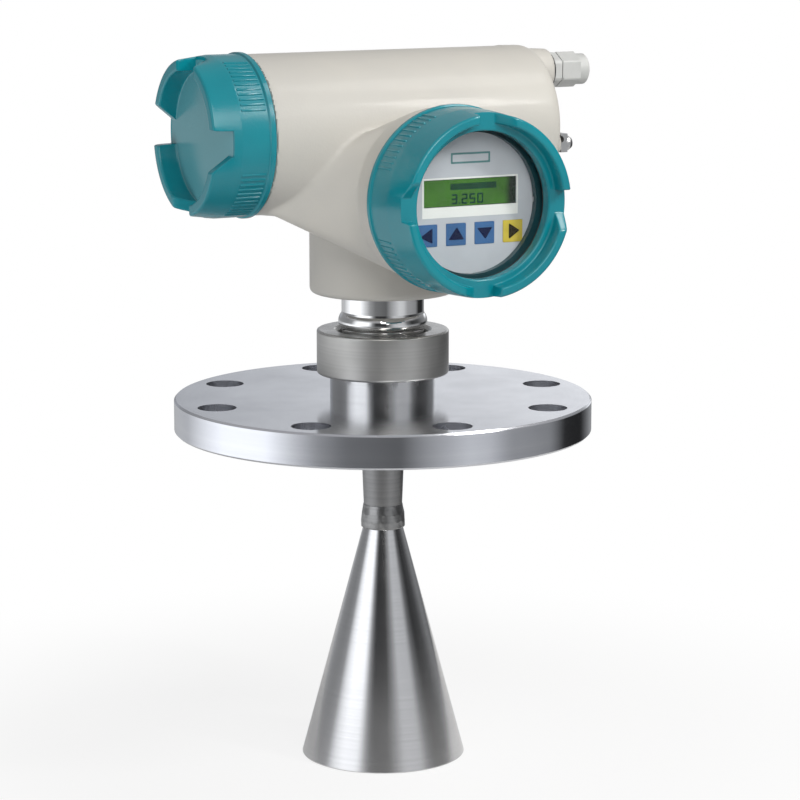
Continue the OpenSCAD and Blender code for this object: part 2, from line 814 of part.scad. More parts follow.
// One touch key, let into the face plate
module touch_key(index, colour) {
    c = 0.1;
    color(colour)
    on_plate(key_x[index] * key_pitch - key_size / 2 + c, -key_drop - key_size / 2 + c)
        translate([0, 0, -1]) cube([key_size - 2 * c, key_size - 2 * c, 1 + key_proud]);
}

key_blue = [0.20, 0.36, 0.62];
key_yellow = [0.85, 0.76, 0.30];
module key_left() { touch_key(0, key_blue); }
module key_up() { touch_key(1, key_blue); }
module key_down() { touch_key(2, key_blue); }
module key_right() { touch_key(3, key_yellow); }

module display_carrier() {
    depth = carrier_front - ledge_y;
    seat = board_seat_y - ledge_y;
    r = carrier_d / 2;
    color([0.18, 0.19, 0.20])
    along_minus_y(branch_x, ledge_y, branch_z)
    difference() {
        rotate_extrude()
            polygon([[carrier_hole / 2, 0], [r, 0], [r, depth], [r - carrier_wall, depth],
                [r - carrier_wall, seat], [r - carrier_wall - 2.5, seat],
                [r - carrier_wall - 2.5, 2.5], [carrier_hole / 2, 2.5]]);
        for (x = [-1, 1], y = [-1, 1])
            translate([x * spacer_x(), y * spacer_y(), -over]) cylinder(d = 3, h = 5, $fn = 24);
    }
}

function spacer_x() = main_board_w / 2 - 4;
function spacer_y() = main_board_h / 2 - 4;

module display_board() {
    color([0.10, 0.36, 0.20])
    along_minus_y(branch_x, board_seat_y, branch_z)
        cylinder(d = carrier_d - 2 * carrier_wall - 0.6, h = board_t);
}

module board_spacers() {
    color([0.80, 0.70, 0.40])
    for (x = [-1, 1], y = [-1, 1])
        along_minus_y(branch_x + x * spacer_x(), main_board_y, branch_z + y * spacer_y())
            union() {
                cylinder(d = 5.5, h = spacer_len, $fn = 6);
                translate([0, 0, -board_t - 1]) cylinder(d = 2.8, h = spacer_len + board_t + 3);
            }
}

module main_board() {
    w = main_board_w;
    h = main_board_h;
    color([0.10, 0.36, 0.20])
    difference() {
        along_minus_y(branch_x, main_board_y - board_t, branch_z)
            union() {
                translate([-w / 2, -h / 2, 0]) cube([w, h, board_t]);
                translate([-0.22 * w, -0.24 * h, -3]) cube([0.36 * w, 0.37 * h, 3.5]);
                translate([-0.28 * w, -0.4 * h, -6]) cube([0.52 * w, 0.12 * h, 6.5]);
            }
        for (x = [-1, 1], y = [-1, 1])
            along_minus_y(branch_x + x * spacer_x(), main_board_y - board_t - over,
                branch_z + y * spacer_y())
                cylinder(d = 3, h = board_t + 2 * over, $fn = 24);
    }
}

module power_board() {
    color([0.12, 0.34, 0.22])
    difference() {
        translate([power_x() - power_board_l / 2, power_board_y, power_z() - power_board_h / 2])
            cube([power_board_l, board_t, power_board_h]);
        for (x = [-1, 1], z = [-1, 1])
            translate([power_x() + x * (power_board_l / 2 - board_margin), power_board_y - over,
                power_z() + z * (power_board_h / 2 - board_margin)])
                rotate([-90, 0, 0]) cylinder(d = 2.8, h = board_t + 2 * over, $fn = 24);
    }
}

module power_board_screws() {
    color([0.75, 0.75, 0.76])
    for (x = [-1, 1], z = [-1, 1])
        translate([power_x() + x * (power_board_l / 2 - board_margin), power_board_y,
            power_z() + z * (power_board_h / 2 - board_margin)])
            rotate([90, 0, 0]) pan_screw(5, 2, 2.5, 7);
}

module transformer() {
    w = 32;
    d = 18;
    h = 26;
    color([0.25, 0.24, 0.22])
    translate([power_x() - 2, power_board_y - d, power_z() - h / 2 - 6])
        union() {
            cube([w, d, h]);
            translate([-3, 4, 5]) cube([w + 6, d - 4, h - 10]);
        }
}

function block_z() = barrel_z + 3;
function block_w() = poles * pole_pitch + 2 * block_ear;
function block_screw_y() = (block_w() - block_ear) / 2;

module terminal_block() {
    w = block_w();
    color([0.30, 0.33, 0.32])
    difference() {
        union() {
            translate([-partition_x - block_d, -w / 2 + block_ear, block_z() - block_h / 2])
                cube([block_d, w - 2 * block_ear, block_h]);
            translate([-partition_x - 5, -w / 2, block_z() - block_h / 2 + 3])
                cube([5, w, block_h - 6]);
        }
        for (i = [0 : poles - 1]) {
            y = (i - (poles - 1) / 2) * pole_pitch;
            // screw well, and wire mouth in the face below it
            translate([-partition_x - block_d - over, y, block_z() + 4]) rotate([0, 90, 0])
                cylinder(d = 5.4, h = 6 + over, $fn = 24);
            translate([-partition_x - block_d - over, y - 2, block_z() - block_h / 2 + 3])
                cube([mouth_depth + over, 4, 5]);
        }
        for (y = [-1, 1])
            translate([-partition_x - 6, y * block_screw_y(), block_z()]) rotate([0, 90, 0])
                cylinder(d = 3.2, h = 8, $fn = 24);
    }
}

module terminal_screws() {
    color([0.80, 0.79, 0.74])
    for (i = [0 : poles - 1])
        translate([-partition_x - block_d + 3.4, (i - (poles - 1) / 2) * pole_pitch, block_z() + 4])
            rotate([0, -90, 0]) translate([0, 0, -2.6 + 0.3])
                difference() {
                    cylinder(d = 4.8, h = 3, $fn = 24);
                    translate([-3, -0.4, 2]) cube([6, 0.8, 2]);
                }
}

module terminal_block_screws() {
    color([0.76, 0.76, 0.77])
    for (y = [-1, 1])
        translate([-partition_x - 5, y * block_screw_y(), block_z()]) rotate([0, -90, 0])
            pan_screw(5.6, 2.4, 2.9, 8.5);
}

module feedthrough() {
    behind = 4;
    color([0.55, 0.42, 0.22])
    along_minus_x(partition_x - partition_t - behind, barrel_z - feed_drop)
        union() {
            cylinder(d = feed_d - seat_gap, h = partition_t + behind + 1);
            translate([0, 0, partition_t + behind]) cylinder(d = feed_d + 3, h = 2.5, $fn = 6);
            for (i = [0 : feed_pins - 1])
                rotate(i * 360 / feed_pins) translate([feed_d * 0.28, 0, -behind])
                    cylinder(d = 1.4, h = partition_t + 4 * behind, $fn = 16);
        }
}

module inner_earth_screw() {
    d = inner_earth_thread - 0.1;
    color([0.80, 0.72, 0.42])
    translate([-partition_x, inner_earth_y, inner_earth_z]) rotate([0, -90, 0])
        pan_screw(2 * d - 0.3, 0.75 * d, d, d);
}

module outer_earth_clamp() {
    color([0.72, 0.72, 0.72])
    difference() {
        translate([blind_x + 2, earth_y - 5, earth_z - 5]) cube([4.5, 10, 11]);
        translate([blind_x, earth_y, earth_z]) rotate([0, 90, 0])
            cylinder(d = earth_thread + 0.4, h = 9);
        translate([blind_x + 2, earth_y - 6, earth_z + 2.8]) rotate([-90, 0, 0])
            cylinder(d = 4, h = 12, $fn = 32);
    }
}

module outer_earth_screw() {
    color([0.74, 0.74, 0.74])
    translate([blind_x + 6.5, earth_y, earth_z]) rotate([0, 90, 0])
        pan_screw(9, 4.5, earth_thread - 0.1, 11);
}

module gland_washer() {
    color([0.10, 0.10, 0.10])
    along_x(entry_x, gland_z) ring(gland_thread + 5.5, gland_thread + 0.2, washer_t);
}

module gland_body() {
    bore = cable_hole + 3;
    r = gland_flats / 2 / cos(30);
    color([0.74, 0.75, 0.74])
    along_x(0, gland_z)
    difference() {
        union() {
            translate([0, 0, entry_x - 11]) cylinder(d = gland_pin_d, h = washer_t + 12);
            intersection() {
                translate([0, 0, gland_hex_x]) cylinder(r = r, h = gland_hex_t, $fn = 6);
                translate([0, 0, gland_hex_x]) cylinder(d = 2 * r - 1, h = gland_hex_t);
            }
            translate([0, 0, gland_hex_x + gland_hex_t - 1])
                cylinder(d = gland_thread - 1, h = gland_tube_x - gland_hex_x - gland_hex_t + 1);
        }
        translate([0, 0, entry_x - 12]) cylinder(d = bore - 1.5, h = 50);
        translate([0, 0, gland_hex_x + 2]) cylinder(d = bore, h = 30);
    }
}

module gland_insert() {
    bore = cable_hole + 3;
    color([0.12, 0.12, 0.12])
    along_x(0, gland_z)
    difference() {
        translate([0, 0, gland_hex_x + 2]) cylinder(d = bore - 0.2, h = gland_tube_x - gland_hex_x - 2);
        translate([0, 0, gland_hex_x]) cylinder(d = cable_hole, h = 20);
    }
}

module gland_slip_ring() {
    color([0.68, 0.68, 0.66])
    along_x(gland_tube_x + seat_gap, gland_z) ring(gland_thread - 1.4, cable_hole + 1, 1.4);
}

module gland_nut() {
    r = gland_flats / 2 / cos(30);
    len = gland_nut_len;
    bore = gland_thread - 1 + 2 * thread_play;
    color([0.76, 0.77, 0.76])
    along_x(gland_nut_x, gland_z)
    difference() {
        intersection() {
            union() {
                cylinder(r = r, h = len * 0.62, $fn = 6);
                cylinder(d = gland_flats - 0.4, h = len);
            }
            rotate_extrude()
                polygon(concat([[0, 0], [r - 0.8, 0], [r - 0.3, 0.6], [r - 0.3, len * 0.52]],
                    [for (a = [0 : 15 : 90]) [r - 5.3 + 5 * cos(a), len - 5 + 5 * sin(a)]],
                    [[0, len]]));
        }
        translate([0, 0, -over]) cylinder(d = bore, h = gland_tube_x - gland_nut_x + 2.4 + over);
        translate([0, 0, -over]) cylinder(d = cable_hole + 2, h = len + 2 * over);
    }
}

// Frame of the gland's lock screw, on the front of the entry boss
module gland_lock_place() {
    translate([blind_x + entry_len * 0.55, 0, gland_z]) rotate([30, 0, 0])
        translate([0, 0, entry_face_d / 2 - 0.6]) children();
}

module gland_lock_screw() {
    color([0.16, 0.16, 0.16])
    gland_lock_place() set_screw(4.9, entry_face_d / 2 - 0.8 - gland_thread / 2, 2.5);
}

flange();
mounting_sleeve();
union_nut();
waveguide_tube();
horn_collar();
antenna_horn();
process_window();
neck_tube();
neck_o_ring();
neck_snap_ring();
microwave_module();
antenna_probe();
housing();
swivel_lock_screw();
terminal_cover();
terminal_cover_seal();
display_cover();
display_cover_seal();
window_glass();
window_gasket();
window_retainer();
face_plate();
lcd_module();
key_left();
key_up();
key_down();
key_right();
display_carrier();
display_board();
board_spacers();
main_board();
power_board();
transformer();
power_board_screws();
terminal_block();
terminal_screws();
terminal_block_screws();
feedthrough();
inner_earth_screw();
outer_earth_clamp();
outer_earth_screw();
gland_body();
gland_washer();
gland_insert();
gland_slip_ring();
gland_nut();
gland_lock_screw();
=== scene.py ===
import json
import math
import bmesh
import bpy
import numpy as np
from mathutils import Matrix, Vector


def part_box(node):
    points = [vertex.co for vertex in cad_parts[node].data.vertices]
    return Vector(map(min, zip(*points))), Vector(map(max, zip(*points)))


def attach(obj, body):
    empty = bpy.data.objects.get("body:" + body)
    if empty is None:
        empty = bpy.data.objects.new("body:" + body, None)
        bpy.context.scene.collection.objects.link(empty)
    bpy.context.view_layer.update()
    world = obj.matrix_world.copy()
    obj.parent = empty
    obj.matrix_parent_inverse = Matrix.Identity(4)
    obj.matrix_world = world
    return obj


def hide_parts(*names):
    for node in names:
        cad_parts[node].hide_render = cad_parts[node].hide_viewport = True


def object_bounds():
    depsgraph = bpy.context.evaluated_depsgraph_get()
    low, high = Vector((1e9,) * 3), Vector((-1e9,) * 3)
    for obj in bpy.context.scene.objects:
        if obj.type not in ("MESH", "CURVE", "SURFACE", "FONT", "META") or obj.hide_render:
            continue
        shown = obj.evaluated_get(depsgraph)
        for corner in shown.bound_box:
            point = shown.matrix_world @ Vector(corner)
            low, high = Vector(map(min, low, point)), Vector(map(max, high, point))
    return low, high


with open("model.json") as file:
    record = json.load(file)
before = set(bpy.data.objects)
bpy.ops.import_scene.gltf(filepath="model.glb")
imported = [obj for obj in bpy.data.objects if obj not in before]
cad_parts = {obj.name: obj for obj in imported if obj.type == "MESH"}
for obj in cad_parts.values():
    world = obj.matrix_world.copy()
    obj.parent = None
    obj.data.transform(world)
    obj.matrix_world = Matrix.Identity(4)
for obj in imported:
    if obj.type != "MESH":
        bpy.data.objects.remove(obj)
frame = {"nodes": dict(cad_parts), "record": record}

cadBox = [list(corner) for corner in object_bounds()]
nodes = frame["nodes"]
mm = 0.001
coverFloor = {"terminal": 25.5, "display": 39.0}  # from the cover's seam to the floor inside its lugs


def boxOf(name):  # a CAD node's lowest and highest corner, and its middle, in mm
    low, high = (np.array(corner) * 1000 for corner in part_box(name))
    return low, high, (low + high) / 2


# camera, lamps and surroundings: degrees, metres and watts; whiteFrom and whiteTo in millimetres
view = {"azimuth": -27.0, "elevation": 10.43, "distance": 1.8, "lens": 135.0,
        "targetRise": 0.01724, "targetRight": 0.0103}
lamps = {  # bearing from the camera (right is +), elevation, distance, width, height, power, colour, aim
    "key": (14, 33, 1.25, 0.75, 0.75, 6.4, (1.0, 0.985, 0.96), (0, 0, 0.08)),
    "side": (86, 57, 1.2, 0.38, 0.38, 3.4, (1.0, 0.985, 0.96), (0, 0, 0.15)),
    "lowLeft": (-60, -18, 1.3, 0.7, 0.7, 5.0, (0.98, 0.99, 1.0), (0, 0, 0.08)),
    "strip": (59.5, 33.7, 1.2, 0.12, 0.26, 6.0, (1.0, 0.99, 0.97), (0.06, -0.042, 0.2)),
}
room = {
    "ambient": 0.33, "overhead": 0.35, "floorColour": (0.86, 0.86, 0.86, 1.0), "floorGap": 0.0003,
    "floorRings": (0.06, 0.15, 0.25, 0.35, 0.45, 0.56), "floorColumns": 96, "whiteFrom": 150.0,
    "whiteTo": 450.0, "whiteNear": 0.84, "inGloss": 0.3, "panelTint": (0.49, 0.5, 0.515), "glossGain": 2,
}
# brightness seen in gloss at each bearing from the camera, in degrees, right is +
studioPanels = {
    "level": [(-180, 0.4), (-150, 0.6), (-134, 0.64), (-116, 1.1), (-97, 1.6), (-66, 1.5), (-50, 0.85),
              (-36, 0.4), (-20, 0.22), (10, 0.15), (24, 0.42), (36, 0.6), (48, 0.8), (60, 0.74),
              (74, 0.42), (104, 0.32), (118, 0.03), (140, 0.02), (160, 0.3), (180, 0.4)],
    "raised": [(-180, 0.34), (-150, 0.34), (-120, 0.3), (-104, 0.28), (-88, 0.36), (-74, 1.3), (-60, 1.7),
               (-38, 1.6), (-27, 0.35), (-18, 0.05), (8, 0.04), (20, 0.3), (32, 0.68), (56, 0.64),
               (68, 0.18), (82, 0.04), (104, 0.08), (130, 0.26), (150, 0.34), (180, 0.34)],
}


def unit(azimuth, elevation):  # direction (sin a cos e, -cos a cos e, sin e), e above the floor
    a, e = math.radians(azimuth), math.radians(elevation)
    return np.array([math.sin(a) * math.cos(e), -math.cos(a) * math.cos(e), math.sin(e)])


def addObject(name, data):
    thing = bpy.data.objects.new(name, data)
    bpy.context.scene.collection.objects.link(thing)
    return thing


def placeTowards(thing, at, target):  # turns -Z of a camera or lamp from "at" to "target"
    thing.location = at
    thing.rotation_euler = (Vector(target) - Vector(at)).to_track_quat("-Z", "Y").to_euler()


class Wire:  # one socket's value: + - * / and the methods below add Math nodes
    def __init__(self, finish, out):
        self.finish, self.out = finish, out

    def maths(self, operation, *others):
        sockets = dict(enumerate((self, *others)))
        return self.finish.node("ShaderNodeMath", {"operation": operation}, sockets)

    def __add__(self, other): return self.maths("ADD", other)
    def __mul__(self, other): return self.maths("MULTIPLY", other)
    def __sub__(self, other): return self.maths("SUBTRACT", other)
    def __truediv__(self, other): return self.maths("DIVIDE", other)
    def __rsub__(self, other): return self.maths("MULTIPLY", -1.0) + other
    __radd__, __rmul__ = __add__, __mul__
    def most(self, other): return self.maths("MAXIMUM", other)
    def size(self): return self.maths("ABSOLUTE")
    def power(self, other): return self.maths("POWER", other)
    def sine(self): return self.maths("SINE")

    def ramp(self, low, high, atLow=0.0, atHigh=1.0):  # smooth step from atLow to atHigh
        sockets = {"Value": self, "From Min": low, "From Max": high, "To Min": atLow, "To Max": atHigh}
        return self.finish.node("ShaderNodeMapRange", {"interpolation_type": "SMOOTHSTEP"}, sockets)


class Finish:  # one material or world and its nodes
    def __init__(self, name, block=None):
        self.block = block or bpy.data.materials.new(name)
        self.block.use_nodes = True
        self.tree = self.block.node_tree
        self.tree.nodes.clear()

    def node(self, kind, settings=None, sockets=None, out=0):  # settings first, then sockets
        made = self.tree.nodes.new(kind)
        for key, value in (settings or {}).items():
            if key == "stops":
                for n, (place, colour) in enumerate(value):
                    stops = made.color_ramp.elements
                    stop = stops[n] if n < len(stops) else stops.new(place)
                    stop.position, stop.color = place, colour
            else:
                setattr(made, key, value)
        for key, value in (sockets or {}).items():
            if isinstance(value, Wire):
                self.tree.links.new(value.out, made.inputs[key])
            else:
                made.inputs[key].default_value = value
        return Wire(self, made.outputs[out]) if len(made.outputs) else None

    def place(self):  # Object coordinates in millimetres, as x, y, z wires
        spot = self.node("ShaderNodeTexCoord", out="Object")
        far = self.node("ShaderNodeVectorMath", {"operation": "SCALE"}, {0: spot, "Scale": 1000.0})
        split = self.node("ShaderNodeSeparateXYZ", None, {0: far})
        parts = [Wire(self, split.out.node.outputs[n]) for n in range(3)]
        return far, parts

    def rays(self):  # 1 where a ray is seen by the camera, seen in gloss, or comes through glass
        seen = self.node("ShaderNodeLightPath")
        outputs = seen.out.node.outputs
        return seen, Wire(self, outputs["Is Glossy Ray"]), Wire(self, outputs["Is Transmission Ray"])

    def noise(self, vector, scale, detail):
        return self.node("ShaderNodeTexNoise", None, {"Vector": vector, "Scale": scale, "Detail": detail})

    def join(self, x, y, z):
        return self.node("ShaderNodeCombineXYZ", None, {0: x, 1: y, 2: z})

    def mix(self, factor, a, b):  # colours
        def full(c): return c if isinstance(c, Wire) else (*c[:3], 1.0)
        return self.node("ShaderNodeMix", {"data_type": "RGBA"}, {0: factor, 6: full(a), 7: full(b)}, 2)

    def bump(self, height, strength, distance):
        return self.node("ShaderNodeBump", None,
                         {"Height": height, "Strength": strength, "Distance": distance})

    def surface(self, **sockets):  # Principled BSDF; names with _ for spaces
        shader = self.node("ShaderNodeBsdfPrincipled", None,
                           {k.replace("_", " "): ((*v, 1.0) if isinstance(v, tuple) and len(v) == 3 else v)
                            for k, v in sockets.items()})
        self.output(shader)
        return self.block

    def output(self, shader, kind="ShaderNodeOutputMaterial"):
        self.node(kind, None, {"Surface": shader})


# finishes: every pattern reads Object coordinates in millimetres
paint = {"drift": 0.018, "pebble": 0.75, "fine": 2.6, "fineShare": 0.3, "coatRoughness": 0.1,
         "strength": 0.16, "depth": 0.00035, "recessR": 44.0}


def paintFinish(name, colour, shade, roughness, coat, gloss, recess=None):
    # powder coat: colour and roughness follow a slow noise, the bump adds a noise 1.3 mm across and a
    # finer one. recess: paler colour on the terminal cover's round floor, within its lugs
    f, c = Finish(name), paint
    far, (x, y, z) = f.place()
    drift = f.noise(far, c["drift"], 3.0)
    grain = f.noise(far, c["pebble"], 2.0) + f.noise(far, c["fine"], 1.0) * c["fineShare"]
    base = f.mix(drift.ramp(0.3, 0.7), colour, shade)
    rough = drift.ramp(0.25, 0.75, roughness - 0.03, roughness + 0.05)
    if recess:
        _, high, middle = boxOf("terminal_cover")
        radius = (y * y + (z - middle[2]) * (z - middle[2])).power(0.5)
        floorX = high[0] - coverFloor["terminal"]
        within = radius.ramp(c["recessR"], c["recessR"] + 0.4, 1.0, 0.0)
        onFloor = (x - floorX).size().ramp(0.15, 0.35, 1.0, 0.0) * within
        base = f.mix(onFloor, base, recess)
    return f.surface(Base_Color=base, Roughness=rough, Coat_Weight=coat, Coat_Roughness=c["coatRoughness"],
                     Specular_IOR_Level=gloss, Normal=f.bump(grain, c["strength"], c["depth"]))


lathe = {"wide": 0.55, "fine": 4.0, "cloud": 0.05, "mottle": 0.35, "strength": 0.1, "depth": 0.0002}


def turnedFinish(name, colour, shade, roughness, lines, mottled=0.0, dulled=None, haze=None):
    # lathe lines: a wide and a fine noise of the height alone. mottled: bump of a weld's skin. from the
    # first height to the second, dulled adds its third value to the roughness and haze takes its own
    # off the metallic share
    f, c = Finish(name), lathe
    far, (_, _, z) = f.place()
    wide = f.noise(f.join(z * c["wide"], 0.0, 0.0), 1.0, 2.0)
    fine = f.noise(f.join(z * c["fine"], 0.0, 0.0), 1.0, 2.0)
    cloud = f.noise(far, c["cloud"], 3.0)
    base = f.mix(wide.ramp(0.3, 0.7) * 0.6 + cloud * 0.4, colour, shade)
    rough = (fine * 0.6 + cloud * 0.4).ramp(0.3, 0.7, roughness * 0.82, roughness * 1.22)
    if dulled:
        rough = rough + z.ramp(*dulled[:2], 0.0, dulled[2])
    height = fine + wide * 0.5
    if mottled:
        height = height + f.noise(far, c["mottle"], 3.0) * mottled
    metal = z.ramp(*haze[:2], 1.0, 1.0 - haze[2]) if haze else 1.0
    return f.surface(Base_Color=base, Metallic=metal, Roughness=rough,
                     Normal=f.bump(height, c["strength"] * lines, c["depth"]))


faced = {"rimR": 124.3, "thickness": 20.0, "wide": 0.35, "fine": 2.5, "cloud": 0.03, "smooth": 0.12,
         "rough": 0.19, "holeRough": 0.12, "strength": 0.12, "depth": 0.0002}


def facedFinish(name, colour, shade):
    # faced flange: noise of radius and height, so that its flat sides get ring grooves and its rim
    # finer lines, with none in the holes
    f, c = Finish(name), faced
    far, (x, y, z) = f.place()
    radius = (x * x + y * y).power(0.5)
    rim = radius.ramp(c["rimR"], c["rimR"] + 0.6)
    top = c["thickness"]
    flat = (1 - z.ramp(0.1, 0.4) * z.ramp(top - 0.4, top - 0.1, 1.0, 0.0)).most(rim)
    wide = f.noise(f.join(radius * c["wide"], z * c["wide"], 0.0), 1.0, 2.0)
    fine = (f.noise(f.join(radius * c["fine"], z * c["fine"], 0.0), 1.0, 2.0) - 0.5) * flat
    cloud = f.noise(far, c["cloud"], 4.0)
    base = f.mix((wide - 0.5) * flat * 0.9 + cloud, colour, shade)
    rough = (fine * 0.5 + cloud * 0.5 + 0.25).ramp(0.3, 0.7, c["smooth"], c["rough"])
    rough = rough - rim * 0.03 + (1 - flat) * c["holeRough"]
    height = fine * (1 - rim * 0.85) + wide * flat * 0.3
    return f.surface(Base_Color=base, Metallic=1.0, Roughness=rough,
                     Normal=f.bump(height, c["strength"], c["depth"]))


moulded = {"drift": 0.06, "grain": 0.6, "depth": 0.0003}


def plainFinish(name, colour, roughness, metallic=0.0, grain=0.0, coat=0.0, spread=0.18, gloss=0.5):
    # moulded or plated part: colour and roughness follow a slow noise, the bump a fine one
    f = Finish(name)
    far, _ = f.place()
    drift = f.noise(far, moulded["drift"], 3.0)
    dark = tuple(c * (1 - spread) for c in colour)
    return f.surface(Base_Color=f.mix(drift.ramp(0.3, 0.7), colour, dark), Metallic=metallic,
                     Roughness=drift.ramp(0.3, 0.7, roughness * 0.9, roughness * 1.15),
                     Coat_Weight=coat, Specular_IOR_Level=gloss,
                     Normal=f.bump(f.noise(far, moulded["grain"], 2.0), grain, moulded["depth"]))


display = {"margin": 2.0, "shadowFrom": 8.5, "shadowTo": 2.5, "drift": 0.09, "columns": 7.0,
           "columnShare": 0.06}


def displayFinish(name, colour, shade):
    # reflective display: sine of x for its faint columns, darker towards its right end where the
    # window's edge shades it
    f, c = Finish(name), display
    far, (x, _, _) = f.place()
    right = boxOf("lcd_module")[1][0] - c["margin"]
    shadow = x.ramp(right - c["shadowFrom"], right - c["shadowTo"])
    drift = f.noise(far, c["drift"], 3.0)
    columns = (x * c["columns"]).sine() * c["columnShare"]
    base = f.mix((drift + columns).ramp(0.3, 0.7, 0.0, 0.25) + shadow, colour, shade)
    return f.surface(Base_Color=base, Roughness=drift.ramp(0.3, 0.7, 0.22, 0.3), Specular_IOR_Level=0.3)


def glassFinish(name):
    # clear flat glass that lets the lamps through to what is behind it
    f = Finish(name)
    far, _ = f.place()
    clear = f.node("ShaderNodeBsdfPrincipled", None,
                   {"Base Color": (1.0, 1.0, 1.0, 1.0), "Transmission Weight": 1.0, "IOR": 1.22,
                    "Roughness": f.noise(far, 0.04, 2.0).ramp(0.3, 0.7, 0.0, 0.02)})
    through = f.node("ShaderNodeBsdfTransparent", None, {"Color": (0.97, 0.985, 0.98, 1.0)})
    shadow = f.node("ShaderNodeLightPath", out="Is Shadow Ray")
    diffuse = f.node("ShaderNodeLightPath", out="Is Diffuse Ray")
    f.output(f.node("ShaderNodeMixShader", None, {0: shadow.most(diffuse), 1: clear, 2: through}))
    return f.block


# keys: the record's slots and a few more. linear colours, the second is what the first drifts to
finishes = {
    "housing_paint": paintFinish("housingPaint", (0.585, 0.565, 0.52), (0.55, 0.535, 0.5), 0.44, 0.06, 0.3),
    "cover_paint": paintFinish("coverPaint", (0.001, 0.245, 0.3), (0.001, 0.21, 0.262), 0.2, 0.0, 0.5,
        recess=(0.105, 0.335, 0.385)),
    "turned_flange": facedFinish("flangeSteel", (0.66, 0.67, 0.7), (0.58, 0.59, 0.63)),
    "sleeve_steel": turnedFinish("sleeveSteel", (0.66, 0.66, 0.66), (0.6, 0.6, 0.6), 0.13, 0.4),
    "nut_steel": turnedFinish("nutSteel", (0.5, 0.495, 0.48), (0.43, 0.425, 0.41), 0.4, 1.0,
        dulled=(59.8, 60.4, -0.16)),
    "neck_steel": turnedFinish("neckSteel", (0.74, 0.74, 0.74), (0.7, 0.7, 0.7), 0.06, 0.15),
    # waveguide: a darker steel colour than the sleeve's and horn's, painted shade for the shade it sits in
    # under the flange
    "waveguide_steel": turnedFinish("waveguideSteelShaded", (0.3, 0.3, 0.3), (0.24, 0.24, 0.245), 0.34, 1.2),
    "collar": turnedFinish("collarSteel", (0.36, 0.36, 0.36), (0.25, 0.25, 0.25), 0.34, 0.8, 5.0),
    "horn_steel": turnedFinish("hornSteel", (0.68, 0.68, 0.69), (0.61, 0.61, 0.62), 0.14, 0.35,
        dulled=(-130.0, -205.0, 0.05), haze=(-110.0, -202.0, 0.2)),
    "window_glass": glassFinish("windowGlass"),
    "lcd_green": displayFinish("displayGreen", (0.06, 0.2, 0.022), (0.004, 0.016, 0.006)),
}
plain = {  # colour, roughness and what differs from an ordinary moulded part
    "seal_rubber": ((0.02, 0.02, 0.02), 0.6, {"grain": 0.25}),
    "spring_steel": ((0.1, 0.1, 0.1), 0.4, {"metallic": 1.0}),
    "window_ptfe": ((0.86, 0.86, 0.84), 0.4, {"spread": 0.05}),
    "module_case": ((0.55, 0.52, 0.38), 0.35, {"metallic": 1.0}),
    "plain_brass": ((0.62, 0.45, 0.18), 0.3, {"metallic": 1.0}),
    "retainer_dark": ((0.01, 0.06, 0.075), 0.4, {"coat": 0.2}),
    "plate_grey": ((0.585, 0.605, 0.655), 0.35, {"spread": 0.06, "coat": 0.2}),
    "strip_white": ((0.94, 0.94, 0.92), 0.4, {"spread": 0.03, "coat": 0.2}),
    "field_teal": ((0.09, 0.25, 0.26), 0.4, {"coat": 0.2}),
    "arrow_navy": ((0.002, 0.008, 0.05), 0.5, {"gloss": 0.1}),
    "arrow_dark": ((0.02, 0.014, 0.002), 0.5, {"gloss": 0.1}),
    "lcd_ink": ((0.005, 0.045, 0.035), 0.5, {"gloss": 0.1}),
    "key_blue": ((0.05, 0.155, 0.37), 0.35, {"gloss": 0.3}),
    "key_yellow": ((0.74, 0.57, 0.07), 0.35, {"gloss": 0.3}),
    "carrier_plastic": ((0.015, 0.015, 0.018), 0.5, {"grain": 0.2}),
    "board_green": ((0.01, 0.07, 0.03), 0.35, {"coat": 0.4}),
    "transformer_dark": ((0.02, 0.018, 0.015), 0.45, {"grain": 0.3}),
    "terminal_plastic": ((0.05, 0.06, 0.055), 0.5, {"grain": 0.2}),
    "plated_screw": ((0.6, 0.59, 0.55), 0.28, {"metallic": 1.0}),
    "black_screw": ((0.025, 0.025, 0.025), 0.35, {"metallic": 1.0}),
    "earth_steel": ((0.55, 0.55, 0.55), 0.3, {"metallic": 1.0}),
    "gland_plastic": ((0.58, 0.59, 0.58), 0.38, {"grain": 0.12, "spread": 0.08}),
}
for key, (colour, roughness, others) in plain.items():
    first, second = key.split("_")
    finishes[key] = plainFinish(first + second.title(), colour, roughness, **others)
finishes["brass"] = finishes["earth_brass"] = finishes["plain_brass"]
for part in frame["record"]["subparts"]:
    cadPart = nodes[part["node"]]
    cadPart.data.materials.clear()
    cadPart.data.materials.append(finishes[part["material_slot"]].copy())
nodes["horn_collar"].data.materials[0] = finishes["collar"]
print("stage: finishes on the", len(nodes), "CAD parts")


